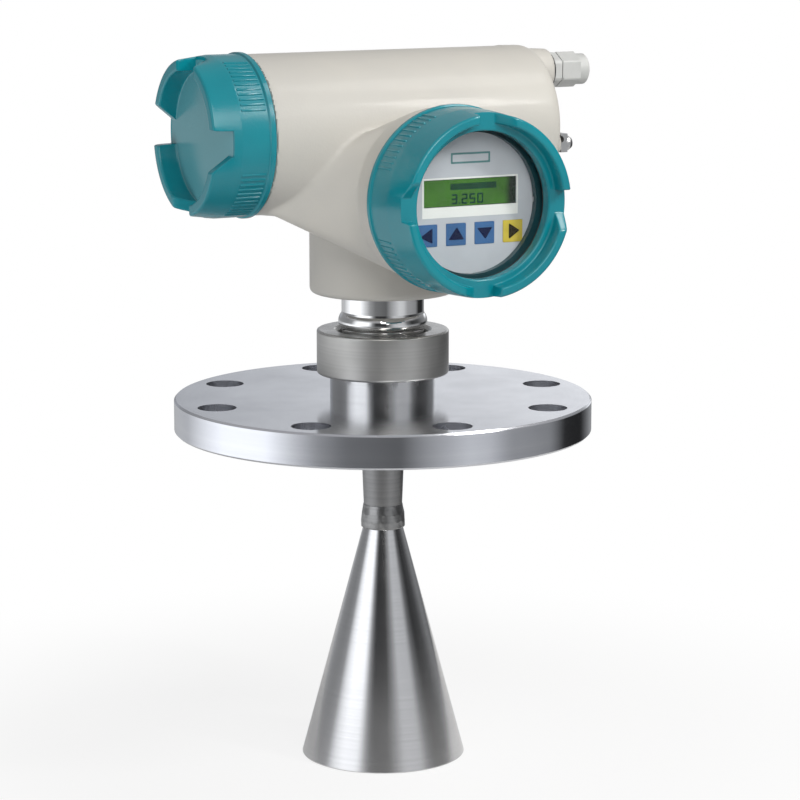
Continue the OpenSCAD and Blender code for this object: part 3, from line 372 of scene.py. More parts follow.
# shapes: grids of points in millimetres, rows along a profile and columns around it
def rounded(corners, bend):
    # profile of (along, radius, rounding): each corner becomes a circle arc tangent to both sides, cut
    # back by rounding / tan(half the corner's angle), with a support point beyond each end of the arc
    points = np.array([corner[:2] for corner in corners], float)
    support, spare = 0.3, 0.7
    out = []
    for n, (_, _, rounding) in enumerate(corners):
        here = points[n]
        if rounding <= 0:
            out.append(here[None])
            continue
        before, after = points[n - 1] - here, points[(n + 1) % len(points)] - here
        lengths = np.hypot(*before), np.hypot(*after)
        before, after = before / lengths[0], after / lengths[1]
        half = math.acos(np.clip(before @ after, -1, 1)) / 2
        cut = min(rounding / math.tan(half), 0.45 * min(lengths))
        size = cut * math.tan(half)
        centre = here + (before + after) / np.linalg.norm(before + after) * size / math.sin(half)
        start, end = (here + before * cut - centre) / size, (here + after * cut - centre) / size
        k = np.linspace(0, 1, bend + 1)[:, None]
        sweep = math.pi - 2 * half
        arc = centre + size * (np.sin((1 - k) * sweep) * start + np.sin(k * sweep) * end) / math.sin(sweep)
        edges = [arc]
        if lengths[0] > 2.2 * cut + spare:
            edges.insert(0, (here + before * (cut + support))[None])
        if lengths[1] > 2.2 * cut + spare:
            edges.append((here + after * (cut + support))[None])
        out += edges
    return np.vstack(out)


def axisFrame(axis):  # two directions across the axis, and the axis, as rows
    d = np.array(axis, float)
    a = np.array([0.0, 0.0, 1.0] if abs(d[2]) < 0.5 else [1.0, 0.0, 0.0])
    return np.array([a, np.cross(d, a), d])


def aroundAxis(along, radius, angle, centre, axis):
    # centre + radius (cos angle, sin angle) across the axis + along the axis
    a, b, d = axisFrame(axis)
    along, radius, angle = np.broadcast_arrays(along, radius, angle)
    return (np.array(centre) + (radius * np.cos(angle))[..., None] * a
            + (radius * np.sin(angle))[..., None] * b + along[..., None] * d)


def turned(corners, columns=128):
    # surface of revolution: the rounded profile at even angles all round the upright axis
    profile = rounded(corners, 4)
    angle = np.linspace(0, 2 * np.pi, columns, endpoint=False)
    return aroundAxis(profile[:, :1], profile[:, 1:], angle[None], (0, 0, 0), (0, 0, 1)), True


def prism(outline, levels, place):
    # outline (n, 2) about a middle point, carried through levels of (height, scale inset in mm),
    # closed with a fan at both ends
    outline = np.array(outline, float)
    middle = outline.mean(0)
    reach = np.abs(outline - middle).max(0)
    rows = [place(np.broadcast_to(middle, outline.shape), levels[0][0])]
    for height, inset in levels:
        rows.append(place(middle + (outline - middle) * (1 - inset / reach), height))
    rows.append(place(np.broadcast_to(middle, outline.shape), levels[-1][0]))
    return np.stack(rows), False


def shell(points, loop):
    # quads between the rows and columns of a grid, turned so that the closed volume is positive
    n, m = points.shape[:2]
    i, j = np.arange(n if loop else n - 1)[:, None], np.arange(m)[None, :]
    below, right = (i + 1) % n, (j + 1) % m
    quads = np.stack([i * m + j, i * m + right, below * m + right, below * m + j], -1).reshape(-1, 4)
    flat = points.reshape(-1, 3)
    a, b, c, d = ((flat - flat.mean(0))[quads[:, k]] for k in range(4))
    if (np.einsum("ij,ij->", a, np.cross(b, c)) + np.einsum("ij,ij->", a, np.cross(c, d))) < 0:
        quads = quads[:, ::-1]
    return flat, quads


def makeMesh(name, points, quads, finish, sharp):
    # one mesh of quads in millimetres, points within 2 micrometres joined
    mesh = bpy.data.meshes.new(name)
    mesh.vertices.add(len(points))
    mesh.vertices.foreach_set("co", (points * mm).astype(np.float32).ravel())
    mesh.loops.add(quads.size)
    mesh.loops.foreach_set("vertex_index", quads.astype(np.int32).ravel())
    mesh.polygons.add(len(quads))
    mesh.polygons.foreach_set("loop_start", np.arange(0, quads.size, 4, dtype=np.int32))
    mesh.update(calc_edges=True)
    mesh.validate()
    work = bmesh.new()
    work.from_mesh(mesh)
    bmesh.ops.remove_doubles(work, verts=work.verts, dist=2e-6)
    bmesh.ops.dissolve_degenerate(work, edges=work.edges, dist=1e-7)
    work.to_mesh(mesh)
    work.free()
    mesh.shade_smooth()
    mesh.set_sharp_from_angle(angle=math.radians(sharp))
    mesh.materials.append(finish)
    return addObject(name, mesh)


def makePiece(name, grids, body, stands, slot, finish=None, sharp=38.0):
    # grids: list of (points, loop); the piece rides on a body and stands for CAD nodes. its finish is
    # the slot's unless another is named
    shells = [shell(points, loop) for points, loop in grids]
    starts = np.cumsum([0] + [len(points) for points, _ in shells[:-1]])
    points = np.vstack([points for points, _ in shells])
    quads = np.vstack([quads + start for (_, quads), start in zip(shells, starts)])
    declare(makeMesh(name, points, quads, finishes[finish or slot], sharp), body, stands)


def declare(thing, body, stands):  # body it rides on and CAD nodes it stands for
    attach(thing, body)
    if stands:
        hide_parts(*stands)


# turned steel: profiles of (height, radius, rounding), all about the upright axis
steel = {"edge": 0.5, "topEdge": 1.0, "sleeveBore": 20.0, "nutEdge": 1.3, "nutTopR": 29.2, "nutBore": 27.2,
         "nutChamfer": 2.0, "nutSeat": 57.3, "hornEdge": 0.35, "wall": 1.5, "lip": 1.0, "bore": 9.5,
         "tip": 11.65, "crown": 0.35, "ripple": 0.12}


def makeSteel():
    c, body = steel, "process_connection"

    def reach(node):  # lowest and highest Z, outer radius
        low, high, _ = boxOf(node)
        return low[2], high[2], high[0]

    low, high, r = reach("mounting_sleeve")
    bore, sleeveR = c["sleeveBore"], r + 0.1
    sleeve = [(low, bore, 0.2), (low, r, c["edge"]), (high, r, c["topEdge"]), (high, bore, 0.2)]
    makePiece("mountingSleeve", [turned(sleeve)], body, ["mounting_sleeve"], "sleeve_steel")
    low, high, r = reach("union_nut")
    bore, edge, seat = c["nutBore"], c["nutEdge"], c["nutSeat"]
    nut = [(low, sleeveR, 0.6), (low, r, edge), (high, r, edge), (high, c["nutTopR"], 0.5),
           (high - c["nutChamfer"], bore, 0.3), (seat, bore, 0.2), (seat, sleeveR, 0.2)]
    makePiece("unionNut", [turned(nut, 160)], body, ["union_nut"], "nut_steel")
    # ground weld: the collar's profile, its radius rippled by a sum of sines of turn and height
    low, high, r = reach("horn_collar")
    tip, r, tall = c["tip"], r - c["ripple"], high - low
    collar = [(low, tip, 0.1), (low, r, 0.5), (low + tall * 0.3, r, 1.5),
              (low + tall * 0.62, r - c["crown"], 2.0), (low + tall * 0.86, tip + 0.5, 1.5),
              (high, tip + 0.2, 0.1), (high, tip, 0.1)]
    points, loop = turned(collar, 96)
    turn, height = np.arctan2(points[..., 1], points[..., 0]), points[..., 2]
    radius = np.hypot(points[..., 0], points[..., 1])
    ripple = (np.sin(5 * turn + height * 0.9) + np.sin(11 * turn - height * 1.7 + 1)
              + np.sin(17 * turn + height * 2.3 + 2)) / 3 * c["ripple"] * (radius > tip + 0.3)
    points[..., :2] *= (1 + ripple / radius)[..., None]
    makePiece("weldCollar", [(points, loop)], body, ["horn_collar"], "waveguide_steel", "collar")
    low, high, mouth = reach("antenna_horn")
    bore, wall, edge = c["bore"], c["wall"], c["hornEdge"]
    horn = [(high, bore, 0.1), (high, bore + wall + c["lip"], edge), (low, mouth, edge),
            (low, mouth - wall, edge)]
    makePiece("antennaHorn", [turned(horn, 192)], body, ["antenna_horn"], "horn_steel")


# screw covers: one grid each. a column's angle t changes with the radius r: the slot's walls stay
# parallel by sin t = (gap / 2 + offset) / r, the rest of the quadrant is shared out evenly
covers = {
    "terminal": {
        "node": "terminal_cover", "body": "terminal_cap", "axis": (-1, 0, 0), "gap": 14.0,
        "lugInner": 38.5, "front": 44.75, "floor": coverFloor["terminal"], "floorR": 38.5, "back": 22.2,
        "bore": 43.0, "taper": 20.8},
    "display": {
        "node": "display_cover", "body": "display_cap", "axis": (0, -1, 0), "gap": 13.0, "lugInner": 46.5,
        "front": 51.65, "floor": coverFloor["display"], "floorR": 46.0, "back": 22.5, "bore": 47.0,
        "taper": 23.8, "windowR": 41.75, "seat": 32.5, "seatR": 44.3},
}
coverShape = {
    "ramp": 9.0, "band": 3.2, "step": 1.0, "ribStart": 4.8, "ribLength": 15.0, "ribWidth": 1.1,
    "ribHeight": 0.6, "ribPitch": 4.0, "ribs": 12, "slotColumns": 7, "threadPitch": 2.0,
    "threadDepth": 0.9, "threadEnd": 6.0, "threadRows": 60, "runout": 1.8, "sealDepth": 3.3, "sealR": 1.1,
    "sealGap": 0.2,
}


def coverColumns(gap, skirt):
    # offsets in mm from the slot's wall with the lug's share (0 slot floor, 1 lug) for the steep wall
    # and for the ramp, then angle share and rib height share of the columns on the lug
    c = coverShape
    wall = np.array([[-0.05, 0.0], [0.1, 0.1], [0.22, 0.55], [0.42, 0.84], [0.72, 0.955], [1.15, 1.0]])
    run = c["ramp"]
    ramp = np.array([[run + 1.0, 1.0], [run + 0.25, 0.985], [run - 0.5, 0.93], [run * 0.7, 0.7],
                     [run * 0.4, 0.4], [0.8, 0.09], [0.2, 0.02], [-0.3, 0.0]])
    first = math.asin((gap / 2 + wall[-1, 0]) / skirt)
    last = math.pi / 2 - math.asin((gap / 2 + ramp[0, 0]) / skirt)
    turns = []
    for n in range(c["ribs"]):
        middle = math.radians(45 + (n - (c["ribs"] - 1) / 2) * c["ribPitch"])
        for offset, share in ((-0.65, 0.0), (-0.46, 0.8), (-0.2, 1.0), (0.2, 1.0), (0.46, 0.8), (0.65, 0.0)):
            turns.append((middle + offset * c["ribWidth"] / skirt, share))
    smooth = [(first + (turns[0][0] - first) * k / 4, 0.0) for k in (1, 2, 3)]
    arc = [((t - first) / (last - first), share) for t, share in smooth + turns]
    return wall, ramp, np.array(arc)


def coverGrid(profile, d, skirt, ribRows):
    # along = profile's, pushed down to the floor where the lug's share is below 1; radius = profile's
    # + rib share of the row * rib share of the column * rib height
    n = coverShape["slotColumns"]
    wall, ramp, arc = coverColumns(d["gap"], skirt)
    along, radius = profile[:, :1], profile[:, 1:]
    grow = np.maximum(radius, d["lugInner"])
    rise = np.arcsin((d["gap"] / 2 + wall[None, :, 0]) / grow)
    fall = np.pi / 2 - np.arcsin((d["gap"] / 2 + ramp[None, :, 0]) / grow)
    floor = rise[:, :1] * np.linspace(-0.9, 0.9, n)[None]
    lug = rise[:, -1:] + (fall[:, :1] - rise[:, -1:]) * arc[None, :, 0]
    quadrant = np.hstack([floor, rise, lug, fall])
    share = np.concatenate([np.zeros(n), wall[:, 1], np.ones(len(arc)), ramp[:, 1]])
    rib = np.concatenate([np.zeros(n + len(wall)), arc[:, 1], np.zeros(len(ramp))])
    turn = np.hstack([quadrant + k * np.pi / 2 for k in range(4)])
    share, rib = np.tile(share, 4)[None], np.tile(rib, 4)[None]
    along = along - np.maximum(along - d["floor"], 0.0) * (1 - share)
    radius = radius + ribRows[:, None] * rib * coverShape["ribHeight"]
    return along, radius, turn


def threadWave(along, turn):  # triangle wave 0 to 1 of along + pitch * turn / full turn
    pitch = coverShape["threadPitch"]
    return np.abs(((along + pitch * turn / (2 * np.pi)) / pitch) % 1 - 0.5) * 2


def makeCover(name):
    # one closed profile from the seam: skirt with its band and ribs, lugs, floor, back, thread, seal's
    # groove. the inner thread's radius grows by depth * wave
    d, c = covers[name], coverShape
    low, high, middle = boxOf(d["node"])
    across = 1 if d["axis"][0] else 0
    band = (high[across] - low[across]) / 2
    h = (high - low)[1 - across]
    centre = middle.copy()
    centre[1 - across] = high[1 - across]
    skirt = band - c["step"]
    f, inner, back, bore = d["floor"], d["lugInner"], d["back"], d["bore"]
    start, stop = c["ribStart"], c["ribStart"] + c["ribLength"]
    root = d["front"] + (skirt - d["front"]) * (h - f) / (h - d["taper"])
    outer = [(0, bore, 0.3), (0, band, 0.7), (c["band"], band, 0.5), (c["band"] + 0.8, skirt, 0.5)]
    ribs = [start, start + 0.15, start + 0.5, stop - 0.5, stop - 0.1, stop + 0.15]
    outer += [(s, skirt, 0) for s in (start - 0.35, *ribs, stop + 0.5)]
    outer += [(d["taper"], skirt, 3.0), (f, root, 0)]
    ring = [(h, d["front"], 1.6), (h, inner, 1.2), (f, d["floorR"], 1.0)]
    if name == "terminal":
        floor = [(f, r, 0) for r in (30, 20, 10, 0)]
        floor += [(back, r, 0) for r in (0, 12, 24, 36)] + [(back, bore, 1.5)]
    else:
        seat, seatR = d["seat"], d["seatR"]
        floor = [(f, d["windowR"], 1.0), (seat, d["windowR"], 0.3), (seat, seatR, 0.2),
                 (back, seatR, 0.2), (back, bore, 0.5)]
    end, top = c["threadEnd"], back - c["runout"]
    thread = [(s, bore, 0) for s in np.linspace(top, end, c["threadRows"])]
    seal, gap = c["sealDepth"], c["sealGap"]
    half, deep = c["sealR"] + gap, bore + 2 * c["sealR"] + gap
    groove = [(seal + half, bore, 0.2), (seal + half, deep, 0.2),
              (seal - half, deep, 0.2), (seal - half, bore, 0.2)]
    profile = rounded(outer + ring + floor + thread + groove, 4)
    s, r = profile[:, 0], profile[:, 1]
    ribRows = np.interp(s, ribs, [0, 0.75, 1, 1, 0.85, 0]) * (np.abs(r - skirt) < 1e-6)
    along, radius, turn = coverGrid(profile, d, skirt, ribRows)
    inThread = ((np.abs(r - bore) < 1e-6) & (s > end - 0.01) & (s < top + 0.1))[:, None]
    fade = np.clip((along - end) / 1.5, 0, 1) * np.clip((top - along) / 1.5, 0, 1)
    radius = radius + inThread * threadWave(along, turn) * fade * c["threadDepth"]
    points = aroundAxis(along, radius, turn, centre, d["axis"])
    makePiece(name + "ScrewCover", [(points, True)], d["body"], [d["node"]], "cover_paint", sharp=40)


# the casting: distance field of the outside, joined with rounded fillets, less its hollows. barrel and
# boss are cylinders; the belly's section goes from the branch's circle into a wide flat bar that lies
# low in the barrel. names with X, Y or Z are places, as are bossTop and, in Y, the belly's ends
casting = {
    "cell": 1.5, "margin": 1.77, "reach": 0.6, "hollowEdge": 0.5, "seamGap": 0.8, "seamEdge": 0.8,
    "barrelR": 46.5, "blindX": 97.0, "blindEdge": 8.0, "branchR": 50.5, "bellyStart": -60.7,
    "bellyEnd": -21.0, "bellyBack": 4.0, "bellyHalf": 77.0, "bellyRise": 8.0, "bellyR": 5.0,
    "bellyZ": 147.0, "crease": 2.4, "bossR": 43.6, "bossZ": 83.0, "bossTop": 150.0, "bossEdge": 4.0,
    "fillet": 6.0, "entryR": 14.0, "entryX0": 80.0, "entryWideX": 90.0, "entryGrowth": 1.2,
    "entryRun": 20.0, "entryEdge": 1.0, "entryFillet": 3.0, "padY": -34.0, "padZ": 170.0, "padR": 6.5,
    "padX0": 85.0, "padProud": 2.0, "padEdge": 0.6, "padFillet": 2.0,
}
hollows = {
    "terminalBore": 37.5, "terminalX": -34.0, "barrelBore": 40.0, "barrelX": (-28.0, 90.0),
    "branchBore": 42.0, "branchY": -62.0, "ledgeBore": 38.0, "ledgeY": (-62.5, -36.0), "ledgeWall": 2.5,
    "well": 34.0, "wellZ": (108.0, 170.0), "neck": 24.7, "neckZ": (70.0, 110.0), "conduit": 6.0,
    "conduitWall": 4.0, "conduitX": -40.0, "glandBore": 8.1, "glandX": 97.0, "terminalSpoutR": 42.9,
    "displaySpoutR": 46.9, "spoutWall": 0.05,
}
least, most = np.minimum, np.maximum


def softLeast(a, b, k):  # smaller of two distances, rounded over k where they are close
    h = np.clip(0.5 + 0.5 * (b - a) / k, 0, 1)
    return b + (a - b) * h - k * h * (1 - h)


def softMost(a, b, k):  # larger of two distances, rounded the same way
    return -softLeast(-a, -b, k)


def between(value, ends):  # distance to the layer between two ends
    return most(ends[0] - value, value - ends[1])


def castPlaces():  # places taken from the CAD nodes' boxes
    low, high, _ = boxOf("terminal_cover")
    _, seam, branch = boxOf("display_cover")
    body = boxOf("housing")
    gap = casting["seamGap"]
    return {"seamX": high[0] + gap, "barrelZ": (low[2] + high[2]) / 2, "seamY": seam[1] + gap,
            "branchX": branch[0], "branchZ": branch[2], "spoutX": body[0][0], "spoutY": body[0][1],
            "entryX": body[1][0], "glandZ": boxOf("gland_nut")[2][2]}


def castOutside(x, y, z, g):
    # belly: rounded box distance, with half sizes and middle going from the branch's to the bar's by
    # t = share of the way from its start to its end
    c = casting
    barrel = np.hypot(y, z - g["barrelZ"]) - c["barrelR"]
    out = softMost(softMost(barrel, x - c["blindX"], c["blindEdge"]), g["seamX"] - x, c["seamEdge"])
    t = np.clip((y - c["bellyStart"]) / (c["bellyEnd"] - c["bellyStart"]), 0, 1)
    qx = np.abs(x - g["branchX"] * (1 - t)) - c["bellyHalf"] * t
    qz = np.abs(z - g["branchZ"] - (c["bellyZ"] - g["branchZ"]) * t) - c["bellyRise"] * t
    belly = (np.hypot(most(qx, 0), most(qz, 0)) + least(most(qx, qz), 0)
             - c["branchR"] * (1 - t) - c["bellyR"] * t)
    belly = most(softMost(belly, g["seamY"] - y, c["seamEdge"]), y - c["bellyBack"])
    out = softLeast(out, belly, c["crease"])
    boss = softMost(np.hypot(x, y) - c["bossR"], c["bossZ"] - z, c["bossEdge"])
    out = softLeast(out, most(boss, z - c["bossTop"]), c["fillet"])
    entry = (np.hypot(y, z - g["glandZ"]) - c["entryR"]
             + c["entryGrowth"] * (x - c["entryWideX"]) / c["entryRun"])
    entry = most(softMost(entry, x - g["entryX"], c["entryEdge"]), c["entryX0"] - x)
    out = softLeast(out, entry, c["entryFillet"])
    pad = np.hypot(y - c["padY"], z - c["padZ"]) - c["padR"]
    pad = most(softMost(pad, x - c["blindX"] - c["padProud"], c["padEdge"]), c["padX0"] - x)
    return softLeast(out, pad, c["padFillet"])


def castDistance(p, g):
    # outside less the hollows: least of the electronics room's distances, kept off the conduit's wall,
    # then of the terminal compartment, neck, conduit and gland bore
    x, y, z = p[..., 0], p[..., 1], p[..., 2]
    out, c = castOutside(x, y, z, g), hollows
    conduit = np.hypot(y, z - g["glandZ"])
    front = np.hypot(x - g["branchX"], z - g["branchZ"])
    about = np.hypot(y, z - g["barrelZ"])
    upright = np.hypot(x, y)
    ledge = most(between(y, c["ledgeY"]), out + c["ledgeWall"])
    hollow = least.reduce([
        most(about - c["barrelBore"], between(x, c["barrelX"])),
        most(front - c["ledgeBore"], ledge),
        most(front - c["branchBore"], y - c["branchY"]),
        most(upright - c["well"], between(z, c["wellZ"]))])
    hollow = most(hollow, c["conduit"] + c["conduitWall"] - conduit)
    hollow = least.reduce([
        hollow,
        most(about - c["terminalBore"], x - c["terminalX"]),
        most(upright - c["neck"], between(z, c["neckZ"])),
        most(conduit - c["conduit"], c["conduitX"] - x),
        most(conduit - c["glandBore"], c["glandX"] - x)])
    return softMost(out, -hollow, casting["hollowEdge"])


def netSurface(field, low, high, cell):
    # surface nets: each grid cell that the surface crosses gets one point, the mean of its edges'
    # crossings; each grid edge that it crosses gets the quad of the four cells around it
    axes = [np.arange(low[k], high[k] + cell, cell) for k in range(3)]
    grid = np.stack(np.meshgrid(*axes, indexing="ij"), -1)
    value = field(grid)
    inside = value < 0
    shape = np.array(value.shape) - 1
    corners = [np.array([a, b, c]) for a in (0, 1) for b in (0, 1) for c in (0, 1)]

    def at(values, corner):
        a, b, c = corner
        return values[a:shape[0] + a, b:shape[1] + b, c:shape[2] + c]

    count = sum(at(inside, corner).astype(np.int8) for corner in corners)
    active = (count > 0) & (count < 8)
    index = np.full(active.shape, -1, np.int64)
    index[active] = np.arange(active.sum())
    total, hits = np.zeros((active.sum(), 3)), np.zeros((active.sum(), 1))
    for one in corners:
        for k in range(3):
            if one[k]:
                continue
            other = one.copy()
            other[k] = 1
            a, b = at(value, one)[active], at(value, other)[active]
            crosses = ((a < 0) != (b < 0))[:, None]
            share = (a / np.where(a == b, 1, a - b))[:, None]
            spot = one + share * (other - one)
            total += np.where(crosses, spot, 0)
            hits += crosses
    cells = np.argwhere(active)
    points = np.array(low) + (cells + total / hits) * cell
    quads = []
    for k in range(3):
        one, two = [a for a in range(3) if a != k]
        trim = [slice(1, -1)] * 3
        trim[k] = slice(0, -1)
        a = inside[tuple(trim)]
        trim[k] = slice(1, None)
        b = inside[tuple(trim)]
        spots = np.argwhere(a != b)
        into = a[tuple(spots.T)]
        spots = spots + (np.arange(3) != k)
        ring = []
        for back1, back2 in ((1, 1), (0, 1), (0, 0), (1, 0)):
            s = spots.copy()
            s[:, one] -= back1
            s[:, two] -= back2
            ring.append(index[tuple(s.T)])
        ring = np.stack(ring, -1)
        turn = into if k != 1 else ~into
        quads.append(np.where(turn[:, None], ring, ring[:, ::-1]))
    return points, np.vstack(quads)


def slideOnto(field, points, reach):
    # three Newton steps: p - d grad d / |grad d|^2, at most "reach" in all; grad d is the difference
    # of d over a small step either way
    start, step = points.copy(), 0.02
    for _ in range(3):
        d = field(points)
        slope = np.stack([(field(points + np.eye(3)[k] * step) - field(points - np.eye(3)[k] * step))
                          / (2 * step) for k in range(3)], -1)
        points = points - d[:, None] * slope / np.maximum((slope ** 2).sum(-1), 0.25)[:, None]
        points = start + np.clip(points - start, -reach, reach)
    return points


def makeCasting():
    g, c = castPlaces(), casting

    def field(p):
        return castDistance(p, g)

    low = np.array([g["seamX"], g["seamY"], c["bossZ"]]) - c["margin"]
    high = np.array([g["entryX"], c["barrelR"], g["barrelZ"] + c["barrelR"]]) + 3
    points, quads = netSurface(field, low, high, c["cell"])
    points = slideOnto(field, points, c["cell"] * c["reach"])
    thing = makeMesh("housingCasting", points, quads, finishes["housing_paint"], 34)
    declare(thing, "head", ["housing"])
    wall = hollows["spoutWall"]
    threads = [spout((-1, 0, 0), (0, 0, g["barrelZ"]), hollows["terminalSpoutR"],
                     hollows["terminalBore"] + wall, -g["seamX"] - 2, -g["spoutX"]),
               spout((0, -1, 0), (g["branchX"], 0, g["branchZ"]), hollows["displaySpoutR"],
                     hollows["branchBore"] + wall, -g["seamY"] - 2, -g["spoutY"])]
    makePiece("housingSpouts", threads, "head", ["housing"], "housing_paint")
    print("stage: casting", len(quads), "quads")


def spout(axis, centre, outer, bore, start, end):
    # threaded ring: radius = outer - depth * wave, faded in after the collar and out at the rim
    along = np.concatenate([[start], np.linspace(start + 4.5, end - 0.8, 68), [end]])[:, None]
    turn = np.linspace(0, 2 * np.pi, 144, endpoint=False)[None]
    fade = np.clip((along - start - 5) / 1.5, 0, 1) * np.clip((end + 0.4 - along) / 1.2, 0, 1)
    radius = (outer - threadWave(along, turn) * fade * coverShape["threadDepth"]
              - np.where(along > end - 0.1, 0.6, 0))
    rim = np.array([[end], [start]])
    along = np.vstack([along + 0 * turn, rim + 0 * turn])
    radius = np.vstack([radius, bore + 0 * rim * turn])
    return aroundAxis(along, radius, turn, centre, axis), True


# face plate: marks, keys and figures are thin prisms in front of the CAD plate
panel = {
    "surround": 1.0, "stripBelow": 6.0, "fieldSize": (25.0, 6.2), "fieldZ": 25.4, "fieldLine": 1.1,
    "keySize": 12.6, "keyPitch": 18.2, "keyZ": -17.5, "keyProud": 0.3, "arrowProud": 0.12, "lcdZ": 6.0,
    "lcdSize": (59.0, 15.5), "figures": "3250", "figureSize": (2.9, 4.8), "stroke": 0.62,
    "figureX": -10.0, "figureZ": 3.6, "figurePitch": 5.0, "pointGap": 1.5, "pointX": -6.7, "pointZ": 6.0,
    "pointSize": (0.9, 0.9), "bars": 28, "barX": -12.0, "barZ": 3.4, "barPitch": 1.05,
    "barSize": (0.86, 3.6), "inkCorner": 0.1,
}
arrows = {  # outlines seen from the front, in mm, with their roundings
    "left": [(3.1, -4.4, 0.4), (3.1, 4.4, 0.4), (-4.6, -0.6, 0.4)],
    "up": [(-5.0, -3.0, 0.4), (5.0, -3.0, 0.4), (0.4, 4.2, 0.4)],
    "down": [(-5.0, 3.0, 0.4), (5.0, 3.0, 0.4), (0.4, -3.6, 0.4)],
    "right": [(-2.6, 4.6, 0.4), (-2.6, -4.6, 0.4), (4.4, 0.2, 0.4)],
}
figureStrokes = {"0": "abcdef", "2": "abdeg", "3": "abcdg", "5": "acdfg"}


def rectangle(left, bottom, right, top, corner):
    return rounded([(left, bottom, corner), (right, bottom, corner), (right, top, corner),
                    (left, top, corner)], 3)


def slab(size, middle, levels, place, corner):  # prism of a rectangle with rounded corners
    w, h = size[0] / 2, size[1] / 2
    x, z = middle
    return prism(rectangle(x - w, z - h, x + w, z + h, corner), levels, place)


def edging(outer, inner, lift, onPlate):  # band between two outlines, up to "lift" before the plate
    return np.stack([onPlate(outer, -0.2), onPlate(outer, lift), onPlate(inner, lift), onPlate(inner, -0.2)])


def makePanel():
    p = panel
    low, _, middle = boxOf("face_plate")
    lcdLow = boxOf("lcd_module")[0]

    def onPlate(outline, height, front=low[1]):  # outline seen from the front, height towards the viewer
        return np.stack([middle[0] + outline[:, 0], np.full(len(outline), front - height),
                         middle[2] + outline[:, 1]], -1)

    def onLcd(outline, height):
        return onPlate(outline, height, lcdLow[1])

    w, h = (s / 2 for s in p["lcdSize"])
    top, bottom = p["lcdZ"] + h, p["lcdZ"] - h

    def border(out, below):  # rectangle round the display, larger by "out", lower by "below"
        return rectangle(-w - out, bottom - below, w + out, top + out, 0.3)

    strip = edging(border(p["surround"], p["stripBelow"]), border(0, 0), 0.1, onPlate)
    makePiece("plateStrip", [(strip, True)], "head", [], "plate_grey", "strip_white")
    half = np.array(p["fieldSize"]) / 2
    outer = rectangle(*-half, *half, 0.5)
    inner = outer * (1 - p["fieldLine"] / half)
    up = np.array([0, p["fieldZ"]])
    field = edging(up + outer, up + inner, 0.08, onPlate)
    makePiece("plateField", [(field, True)], "head", [], "plate_grey", "field_teal")
    size, lift = (p["keySize"], p["keySize"]), p["keyProud"]
    dome = [(-0.9, 0), (lift - 0.15, 0), (lift - 0.03, 0.12), (lift, 0.4)]
    for n, (name, outline) in enumerate(arrows.items()):
        spot = np.array([(n - 1.5) * p["keyPitch"], p["keyZ"]])
        warm = name == "right"
        slot = "key_yellow" if warm else "key_blue"
        makePiece("touchKey_" + name, [slab(size, spot, dome, onPlate, 0.8)], "head", ["key_" + name], slot)
        levels = [(lift - 0.2, 0), (lift + p["arrowProud"], 0)]
        makePiece("keyArrow_" + name, [prism(spot + rounded(outline, 3), levels, onPlate)], "head", [], slot,
                  "arrow_dark" if warm else "arrow_navy")
    makePiece("displayFigures", figureMarks(onLcd), "head", [], "lcd_green", "lcd_ink")
    print("stage: face plate")


def figureMarks(onLcd):
    # figures of up to seven strokes, a point after the first figure, and a row of bars above them
    p = panel
    wide, tall = p["figureSize"]
    s, corner = p["stroke"], p["inkCorner"]
    strokes = {"a": (0, tall / 2, wide, s), "g": (0, 0, wide, s), "d": (0, -tall / 2, wide, s),
               "f": (-wide / 2, tall / 4, s, tall / 2), "b": (wide / 2, tall / 4, s, tall / 2),
               "e": (-wide / 2, -tall / 4, s, tall / 2), "c": (wide / 2, -tall / 4, s, tall / 2)}
    flat = [(-0.1, 0), (0.05, 0)]
    marks = []
    for n, figure in enumerate(p["figures"]):
        left = p["figureX"] + n * p["figurePitch"] + (n > 0) * p["pointGap"]
        for x, z, w, h in (strokes[letter] for letter in figureStrokes[figure]):
            marks.append(slab((w + s * 0.5, h + s * 0.5), (left + x, p["lcdZ"] - p["figureZ"] + z),
                              flat, onLcd, corner))
    marks.append(slab(p["pointSize"], (p["pointX"], p["lcdZ"] - p["pointZ"]), flat, onLcd, corner))
    for n in range(p["bars"]):
        marks.append(slab(p["barSize"], (p["barX"] + n * p["barPitch"], p["lcdZ"] + p["barZ"]),
                          flat, onLcd, corner))
    return marks


makeSteel()
print("stage: turned steel")
makeCover("terminal")
makeCover("display")
print("stage: screw covers")
makeCasting()
makePanel()


